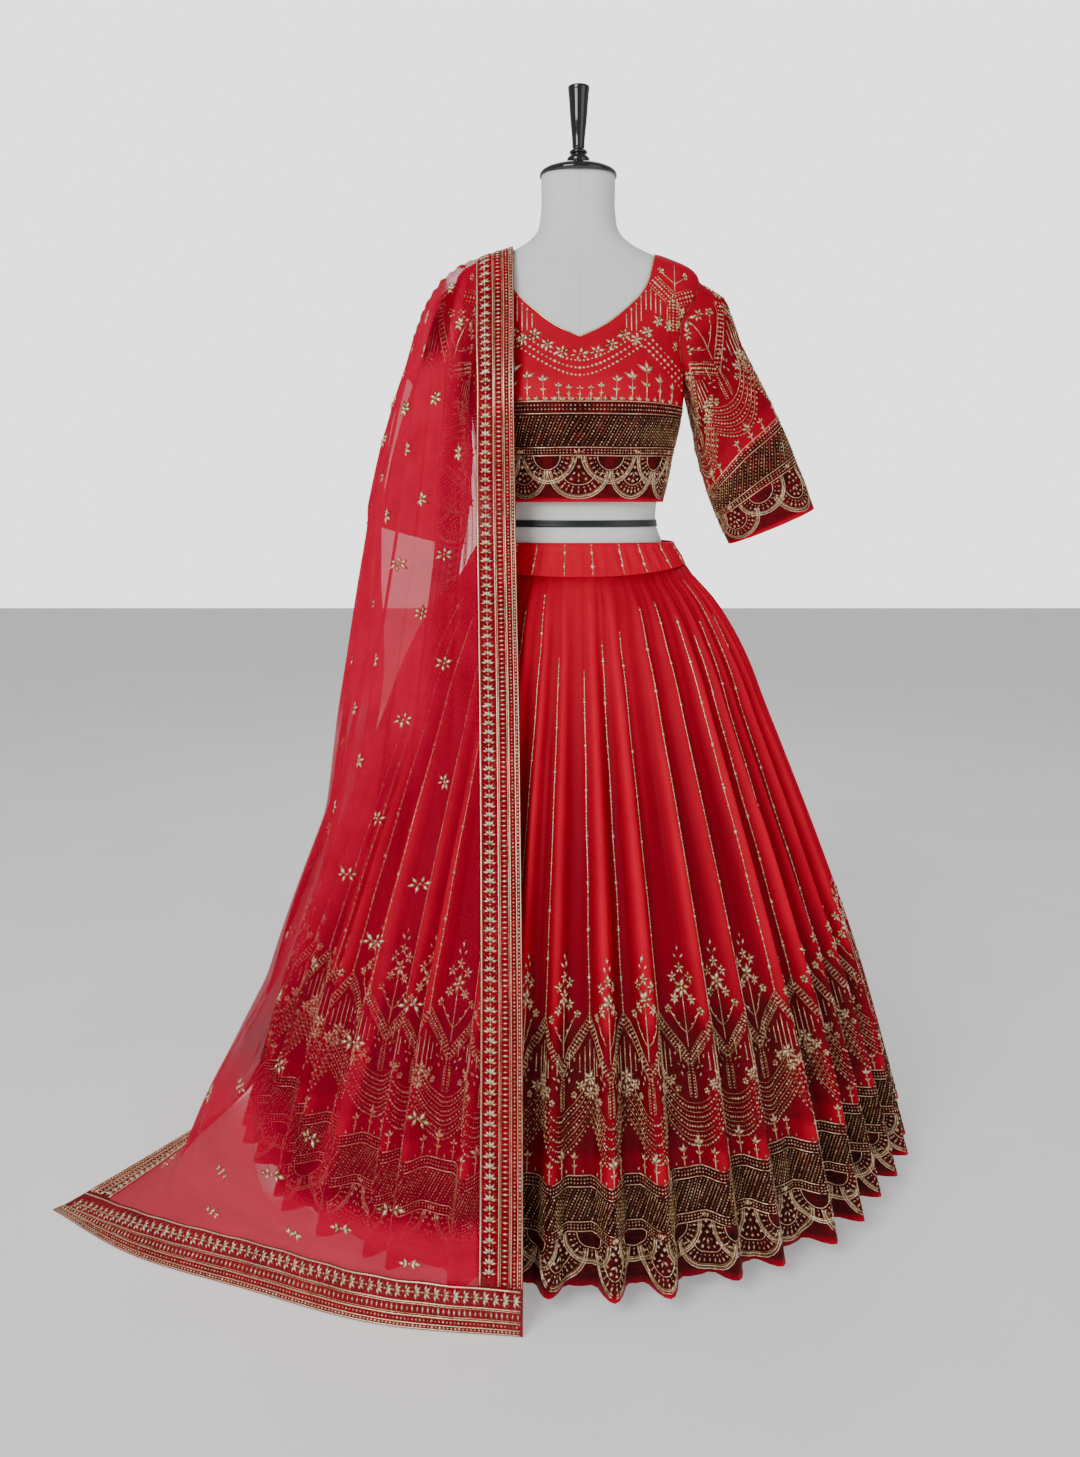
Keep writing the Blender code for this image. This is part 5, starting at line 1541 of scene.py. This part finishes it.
class LEHENGA_OT_sleeves(bpy.types.Operator):
    """Sleeves: both elbow sleeves with creases at the elbow and sewing down to the scalloped cuff"""

    bl_idname = "lehenga.sleeves"
    bl_label = "Sleeves"

    def execute(self, context):
        _, sizes, _ = settings(context)
        for number, name in enumerate(SLEEVES):
            turns = np.linspace(-math.pi, math.pi, SLEEVE_AROUND + 1)
            along = np.concatenate([np.linspace(0, 0.12, 12)[:-1], np.linspace(0.12, 1.0, 60)])[::-1]
            around, share = np.meshgrid(turns, along)
            points = sleeve(name, around, share)
            length = (length_of(points[:, 0]) + length_of(points[:, SLEEVE_AROUND // 2])) / 2
            centre = points.mean(1, keepdims=True)[1:-1]
            out = 0 * around
            for at, place, run, wide, lean, depth in SLEEVE_CREASES:
                du = np.angle(np.exp(1j * (around - at - number * 0.4))) * 0.058
                dv = (share - place) * length
                long_way = du * math.cos(lean) + dv * math.sin(lean)
                short_way = dv * math.cos(lean) - du * math.sin(lean)
                out = out + depth * np.exp(-((long_way / run) ** 2) - (short_way / wide) ** 2)
            out = out * np.clip(share / 0.08, 0, 1) * np.clip((1 - share) / 0.05, 0, 1)
            middle = points.mean(1, keepdims=True)
            away = points - middle
            points = points + out[..., None] * away / np.linalg.norm(away, axis=-1, keepdims=True)
            ring_length = length_of(points[30])
            arm = facing_out(points, (turns / math.pi + 1) / 2 * ring_length, (1 - along) * length, centre)
            piece = cloth_piece(f"{name}_cloth", arm, sizes.cloth_wall, "sleeve cloth", context, True)
            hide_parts(name)
            sheet_facts(arm)
            sewing = Stitches(arm, 21 + number, lambda u, v, length=length: v < length - 0.006)
            hem_bands(sewing, 0.0, 4, ring_length / 4, 0.86)
            tall_border(sewing, 0.0, 5, ring_length / 5, 0.84)
            sewing.piece(f"{name}_sewing", context)
        return {"FINISHED"}


# Soft creases of the sleeves, each (angle round, place along, length, half width, lean, depth).
SLEEVE_CREASES = (
    (1.9, 0.34, 0.040, 0.0065, 0.5, -0.0030), (2.3, 0.44, 0.050, 0.0075, 0.3, 0.0026),
    (1.4, 0.52, 0.040, 0.0070, 0.6, -0.0024), (2.6, 0.26, 0.040, 0.0060, 0.1, -0.0030),
    (3.4, 0.36, 0.045, 0.0070, -0.2, 0.0026), (4.1, 0.46, 0.045, 0.0070, -0.4, -0.0028),
    (0.7, 0.70, 0.040, 0.0080, 0.9, -0.0020), (5.2, 0.62, 0.045, 0.0080, -0.7, -0.0022),
    (1.1, 0.18, 0.035, 0.0060, 0.9, 0.0022), (5.6, 0.30, 0.040, 0.0070, -0.8, 0.0022),
    (2.0, 0.78, 0.035, 0.0080, 0.2, 0.0020),
)


def skirt_cloth():
    """The pleated skirt's outer face, with the hem's length and the slope's length as flat places."""
    turns = np.linspace(-PLEATS / 2, PLEATS / 2, PLEATS * 12 + 1)
    rise = np.linspace(0, 1, 54)
    heights = HEM_HEIGHT + (WAIST_BOTTOM - HEM_HEIGHT) * rise
    turn, height = np.meshgrid(turns, heights)
    points = skirt_point(turn, height)
    points[:, -1] = points[:, 0]
    return Cloth(points, lengths_along(points[0]), lengths_along(points[:, 6]))


def mark_pleat_shade(mesh):
    """Marks how far each point of the skirt lies below the pleats' ridges round it, for the shade that its
    material paints down in the valleys.
    """
    corner = np.empty(len(mesh.vertices) * 3, np.float32)
    mesh.vertices.foreach_get("co", corner)
    corner = corner.reshape(-1, 3)
    angle, radius = np.arctan2(corner[:, 0], -corner[:, 1]), np.hypot(corner[:, 0], corner[:, 1])
    ridge = skirt_ring(angle, np.minimum(corner[:, 2], WAIST_BOTTOM), 1.0 + 0 * angle)
    below = np.hypot(ridge[:, 0], ridge[:, 1]) - radius
    # How much painted shade each point gets: more the deeper it lies below the ridges.
    value = np.clip((below - 0.003) / 0.020, 0, 1) ** 0.8 * 0.80
    mark_points(mesh, "hollow", value)


class LEHENGA_OT_skirt(bpy.types.Operator):
    """Skirt: the pleated georgette with its creases, the sewn border and the bead lines above it"""

    bl_idname = "lehenga.skirt"
    bl_label = "Skirt"

    def execute(self, context):
        _, sizes, _ = settings(context)
        cloth = skirt_cloth()
        piece = cloth_piece("skirt_cloth", cloth, sizes.cloth_wall, "skirt cloth", context, closed=True)
        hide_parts(*[f"skirt_panel_{k + 1:02d}" for k in range(PANELS)])
        mark_pleat_shade(piece.data)
        hem, slope = float(cloth.us[-1]), float(cloth.vs[-1])
        flat, area = (round(hem, 2), round(slope, 3)), round(cloth.flat_area(), 3)
        width = hem / sizes.repeats
        bands = Stitches(cloth, 31)
        hem_bands(bands, 0.0, sizes.repeats, width, 0.97)
        bands.piece("skirt_hem_sewing", context)
        upper = Stitches(cloth, 32)
        tall_border(upper, 0.0, sizes.repeats, width, 1.0)
        upper.piece("skirt_border_sewing", context)
        lines = Stitches(cloth, 33)
        top = slope - 0.006
        random = np.random.default_rng(34)
        for number in range(sizes.repeats):
            place = width * (number + 1) - 0.0001
            start = 0.325 if number % 2 else 0.335
            level = np.linspace(start, top - random.uniform(0.0, 0.16), 44)
            lines.threads(place + 0.0006 * np.sin(level * 40 + number), level, 0.0011, 0.58)
            beads = np.arange(start + 0.004, level[-1], 0.0098)
            swing = 0.0006 * np.sin(beads * 40 + number)
            lines.beads(place + swing, beads, 0.0022, 0.0013, math.pi / 2, 0.72)
            larger = np.arange(start + 0.11 * random.uniform(0.3, 1), level[-1], 0.062)
            lines.beads(place, larger, 0.0034, 0.0024, math.pi / 2, 0.80)
        lines.piece("skirt_bead_lines", context)
        return {"FINISHED"}


class LEHENGA_OT_waistband(bpy.types.Operator):
    """Waistband: gathered elastic with upright bead lines"""

    bl_idname = "lehenga.waistband"
    bl_label = "Waistband"

    def execute(self, context):
        _, sizes, _ = settings(context)
        turns = np.linspace(0, 2 * math.pi, 481)
        shares = np.linspace(0, 1, 17)
        turn, share = np.meshgrid(turns, shares)
        low = waist_bottom(turn)
        height = low + (WAIST_TOP - low) * share
        points = skirt_ring(turn, height, 1.0 + 0 * turn)
        middle = np.sin(math.pi * share)
        puff = 0.0012 * (0.5 + 0.5 * np.cos(24 * turn)) * middle
        puff = puff + 0.0009 * np.sin(61 * turn + 2.0 * np.sin(5 * turn) + 1.5 * share) * middle**0.7
        puff = puff + 0.0006 * np.sin(97 * turn + 3 * np.sin(7 * turn)) * np.clip(1 - share * 1.2, 0, 1)
        puff = puff + 0.0012 * np.exp(-(((share - 0.90) / 0.07) ** 2))
        puff = puff - 0.0010 * np.exp(-(((share - 0.76) / 0.04) ** 2))
        radius = np.hypot(points[..., 0], points[..., 1])
        points[..., :2] *= (1 + puff / radius)[..., None]
        points[:, -1] = points[:, 0]
        band = Cloth(points, lengths_along(points[8]), shares * (WAIST_TOP - WAIST_BOTTOM))
        piece = cloth_piece("waistband_cloth", band, sizes.cloth_wall, "plain cloth", context, closed=True)
        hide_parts("waistband")
        sheet_facts(band)
        sewing = Stitches(band, 41)
        around = band.us[-1]
        places = (np.arange(22) + 0.5) / 22 * around + 0.004 * np.sin(np.arange(22) * 2.1)
        level = np.linspace(0.001, band.vs[-1] - 0.001, 8)
        sewing.threads(places[:, None] + 0.0008 * np.sin(level * 90), level, 0.0011, 0.55)
        beads = np.arange(0.004, band.vs[-1] - 0.002, 0.0066)
        sewing.beads(places[:, None], beads, 0.0018, 0.0011, math.pi / 2, 0.66)
        for share in (0.30, 0.72):
            sewing.beads(places, share * band.vs[-1], 0.0042, 0.0026, math.pi / 2, 0.82)
        sewing.piece("waistband_sewing", context)
        return {"FINISHED"}


STRETCHES = ("back", "shoulder", "front")


# Where the net lies in folds upon itself, each line as (row, place across, half width
# across, how much closer the net looks) from its first row to its last.
NET_FOLDED = (
    ((8.0, 1.10, 0.030, 0.3), (9.0, 1.15, 0.035, 0.8), (10.0, 1.23, 0.050, 0.9), (11.0, 1.34, 0.14, 1.0),
     (11.6, 1.40, 0.18, 1.0), (12.2, 1.44, 0.20, 0.9), (12.8, 1.50, 0.16, 0.5), (13.6, 1.62, 0.08, 0.3),
     (14.6, 1.72, 0.05, 0.0)),
    ((8.6, 1.52, 0.020, 0.0), (9.6, 1.56, 0.028, 0.5), (11.0, 1.62, 0.030, 0.5), (12.6, 1.70, 0.026, 0.6),
     (14.6, 1.80, 0.020, 0.4), (15.8, 1.86, 0.015, 0.0)),
    ((11.6, 1.60, 0.015, 0.0), (12.8, 1.56, 0.022, 0.6), (14.2, 1.50, 0.022, 0.5), (15.6, 1.44, 0.014, 0.0)),
    ((12.0, 1.16, 0.015, 0.0), (13.0, 1.20, 0.020, 0.4), (14.6, 1.28, 0.016, 0.3), (15.6, 1.30, 0.010, 0.0)),
    ((9.4, 1.84, 0.020, 0.0), (11.0, 1.86, 0.030, 0.6), (13.0, 1.88, 0.030, 0.6), (15.0, 1.93, 0.020, 0.3)),
    ((1.0, 1.30, 0.020, 0.3), (3.0, 1.34, 0.040, 0.6), (5.6, 1.40, 0.060, 0.6), (7.2, 1.36, 0.040, 0.2)),
    ((1.0, 1.66, 0.020, 0.2), (3.6, 1.64, 0.030, 0.6), (6.4, 1.58, 0.030, 0.3)),
)


# How closely the net lies, row by row, and where it lies closer beyond a place across,
# each (from row, to row, beyond place, how close).
NET_ROWS = (1.0, 6.0, 7.6, 8.4, 10.0, 10.6, 11.6, 12.4, 13.0, 14.2, 14.7)
NET_CLOSENESS = (0.35, 0.40, 0.60, 0.03, 0.03, 0.60, 0.50, 0.14, 0.05, 0.10, 0.95)
NET_BEYOND = (
    (5.6, 8.6, 1.26, 1.10), (7.4, 10.8, 1.36, 1.15), (9.2, 12.4, 1.08, 1.10), (13.6, 16.9, 1.30, 0.95),
    (11.8, 14.9, 1.66, 1.00),
)


def gathered(mesh, places, rows):
    """Marks how closely the net lies in folds, point by point."""
    across, row = np.meshgrid(places, rows)
    value = np.interp(row, NET_ROWS, NET_CLOSENESS)
    for rows_from, rows_to, across_from, much in NET_BEYOND:
        inside = np.clip((row - rows_from) / 0.5, 0, 1) * np.clip((rows_to - row) / 0.5, 0, 1)
        value = np.maximum(value, much * inside * np.clip((across - across_from) / 0.12, 0, 1))
    for line in NET_FOLDED:
        line = np.array(line)
        middle, wide, much = (np.interp(row, line[:, 0], line[:, k]) for k in (1, 2, 3))
        much = much * np.where((row < line[0, 0]) | (row > line[-1, 0]), 0.0, 1.0)
        value = np.maximum(value, much * np.exp(-(np.abs((across - middle) / wide) ** 3)))
    mark_points(mesh, "folded", value)


class LEHENGA_OT_dupatta(bpy.types.Operator):
    """Dupatta: sheer net with soft folds, its four sewn borders and the small stars on the net"""

    bl_idname = "lehenga.dupatta"
    bl_label = "Dupatta"

    def execute(self, context):
        _, sizes, _ = settings(context)
        sheet = Dupatta()
        net_places = np.linspace(1, 2, 113)
        inner, outer = np.linspace(0, 1, 15), np.linspace(2, 3, 15)
        coarse = np.linspace(1, 16, 121)
        middle_line = np.array([sheet.section(np.array([1.5]), row)[0] for row in coarse])
        run = lengths_along(middle_line)
        rows = np.interp(np.linspace(0, run[-1], 192), run, coarse)
        net_points = np.array([sheet.section(net_places, row) for row in rows])
        inner_points = np.array([sheet.section(inner, row) for row in rows])
        outer_points = np.array([sheet.section(outer, row) for row in rows])
        length = lengths_along(net_points[:, 56])
        width = float(np.mean([lengths_along(line)[-1] for line in net_points[::12]]))
        net = Cloth(net_points, (net_places - 1) * width, length)
        piece = cloth_piece("dupatta_net", net, sizes.net_wall, "net", context)
        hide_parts(*[f"dupatta_{part}_net" for part in STRETCHES])
        sheet_facts(net)
        gathered(piece.data, net_places, rows)
        stars = Stitches(net, 51)
        for number, level in enumerate(np.arange(0.05, length[-1] - 0.02, 0.072)):
            places = np.arange(0.05 + 0.055 * (number % 2), width - 0.02, 0.110)
            places = places + 0.010 * np.sin(places * 37 + number)
            levels = level + 0.008 * np.sin(places * 23 + 2 * number)
            star(stars, places, levels, 0.0108, turn=0.3 + number, shade=0.7)
        stars.piece("dupatta_net_stars", context)
        for side, points in (("inner", inner_points), ("outer", outer_points)):
            edge = points[:, 0] if side == "inner" else points[:, -1]
            turned_points = np.swapaxes(points, 0, 1)[::-1]
            run = lengths_along(edge)
            border = Cloth(np.ascontiguousarray(turned_points), run, np.linspace(0, BORDER_WIDTH, len(inner)))
            piece = cloth_piece(f"dupatta_{side}_edge", border, sizes.border_wall, "border net", context)
            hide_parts(*[f"dupatta_{part}_{side}_border" for part in STRETCHES])
            sheet_facts(border)
            sewing = Stitches(border, 52 + len(side))
            stole_border(sewing, 0.002, run[-1] - 0.002, BORDER_WIDTH, side == "outer")
            sewing.piece(f"dupatta_{side}_edge_sewing", context)
        across = np.concatenate([inner[:-1], net_places[::2][:-1], outer])
        for name, first, last in (("back", 0.0, 1.0), ("front", 16.0, 17.0)):
            levels = np.linspace(first, last, 15)
            points = np.array([sheet.section(across, row) for row in levels])
            run = lengths_along(points[7])
            high = lengths_along(points[:, len(across) // 2])
            border = Cloth(points, run, high)
            piece = cloth_piece(f"dupatta_{name}_end", border, sizes.border_wall, "border net", context)
            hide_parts(f"dupatta_{name}_end_border")
            sheet_facts(border)
            sewing = Stitches(border, 61 + len(name))
            stole_border(sewing, 0.003, run[-1] - 0.003, high[-1], name == "back")
            sewing.piece(f"dupatta_{name}_end_sewing", context)
        return {"FINISHED"}


class LEHENGA_OT_stage(bpy.types.Operator):
    """Stage: plain pale floor, soft studio light and the camera"""

    bl_idname = "lehenga.stage"
    bl_label = "Stage"

    def execute(self, context):
        _, _, stage = settings(context)
        shape = bmesh.new()
        bmesh.ops.create_grid(shape, x_segments=1, y_segments=1, size=9.0)
        mesh = bpy.data.meshes.new("floor")
        shape.to_mesh(mesh)
        shape.free()
        mesh.transform(Matrix.Translation((0, 0, -0.0006)))
        floor = bpy.data.objects.new("floor", mesh)
        context.scene.collection.objects.link(floor)
        pale = hard_finish("pale floor", tuple(stage.floor_colour), 0.75, 0.0, 3.0)
        shader = pale.node_tree.nodes["Principled BSDF"]
        shader.inputs["Emission Color"].default_value = (1.0, 1.0, 1.0, 1.0)
        shader.inputs["Emission Strength"].default_value = stage.floor_glow
        floor.data.materials.append(pale)
        world = bpy.data.worlds.new("studio")
        world.use_nodes = True
        nodes, links = world.node_tree.nodes, world.node_tree.links
        seen, path = nodes.new("ShaderNodeBackground"), nodes.new("ShaderNodeLightPath")
        both = nodes.new("ShaderNodeMixShader")
        links.new(path.outputs["Is Camera Ray"], both.inputs[0])
        for number, light, strength in ((1, nodes["Background"], stage.sky), (2, seen, stage.backdrop)):
            light.inputs["Color"].default_value = (1.0, 1.0, 1.0, 1.0)
            light.inputs["Strength"].default_value = strength
            links.new(light.outputs[0], both.inputs[number])
        links.new(both.outputs[0], nodes["World Output"].inputs[0])
        context.scene.world = world
        lights = (
            ("key", (-1.6, -2.6, 2.6), 1.6, stage.key_power),
            ("fill", (2.4, -2.2, 1.7), 2.2, stage.fill_power),
            ("back", (0.4, 2.4, 2.8), 2.0, stage.fill_power),
        )
        for name, place, size, power in lights:
            lamp = bpy.data.lights.new(name, "AREA")
            lamp.energy, lamp.size = power, size
            light = bpy.data.objects.new(name, lamp)
            context.scene.collection.objects.link(light)
            light.location = place
            aim = np.array([0.0, 0.0, 0.75]) - np.array(place)
            light.rotation_euler = (
                math.atan2(math.hypot(aim[0], aim[1]), -aim[2]), 0.0, math.atan2(aim[1], aim[0]) - math.pi / 2
            )
        lens = bpy.data.cameras.new("camera")
        lens.sensor_fit, lens.sensor_height, lens.lens = "VERTICAL", 36.0, stage.camera_lens
        camera = bpy.data.objects.new("camera", lens)
        context.scene.collection.objects.link(camera)
        camera.location = stage.camera_place
        camera.rotation_euler = (math.radians(90) - stage.camera_tilt, 0.0, 0.0)
        context.scene.camera = camera
        return {"FINISHED"}


class LEHENGA_PT_panel(bpy.types.Panel):
    """Lists the pieces with their sizes and colours"""

    bl_idname = "LEHENGA_PT_panel"
    bl_label = "Lehenga choli"
    bl_space_type = "VIEW_3D"
    bl_region_type = "UI"
    bl_category = "Lehenga"

    def draw(self, context):
        for group in settings(context):
            for name in type(group).__annotations__:
                self.layout.prop(group, name)
        for operator in OPERATORS:
            self.layout.operator(operator.bl_idname)


OPERATORS = (
    LEHENGA_OT_stage, LEHENGA_OT_form, LEHENGA_OT_blouse, LEHENGA_OT_sleeves, LEHENGA_OT_skirt,
    LEHENGA_OT_waistband, LEHENGA_OT_dupatta,
)
CLASSES = (LehengaColours, LehengaSizes, LehengaStage, *OPERATORS, LEHENGA_PT_panel)


def register():
    for kind in CLASSES:
        bpy.utils.register_class(kind)
    bpy.types.Scene.lehenga_colours = bpy.props.PointerProperty(type=LehengaColours)
    bpy.types.Scene.lehenga_sizes = bpy.props.PointerProperty(type=LehengaSizes)
    bpy.types.Scene.lehenga_stage = bpy.props.PointerProperty(type=LehengaStage)


def unregister():
    del bpy.types.Scene.lehenga_stage, bpy.types.Scene.lehenga_sizes, bpy.types.Scene.lehenga_colours
    for kind in reversed(CLASSES):
        bpy.utils.unregister_class(kind)


def main():
    """Registers the add-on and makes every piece."""
    register()
    for operator in OPERATORS:
        group, name = operator.bl_idname.split(".")
        getattr(getattr(bpy.ops, group), name)()


if __name__ == "__main__":
    main()
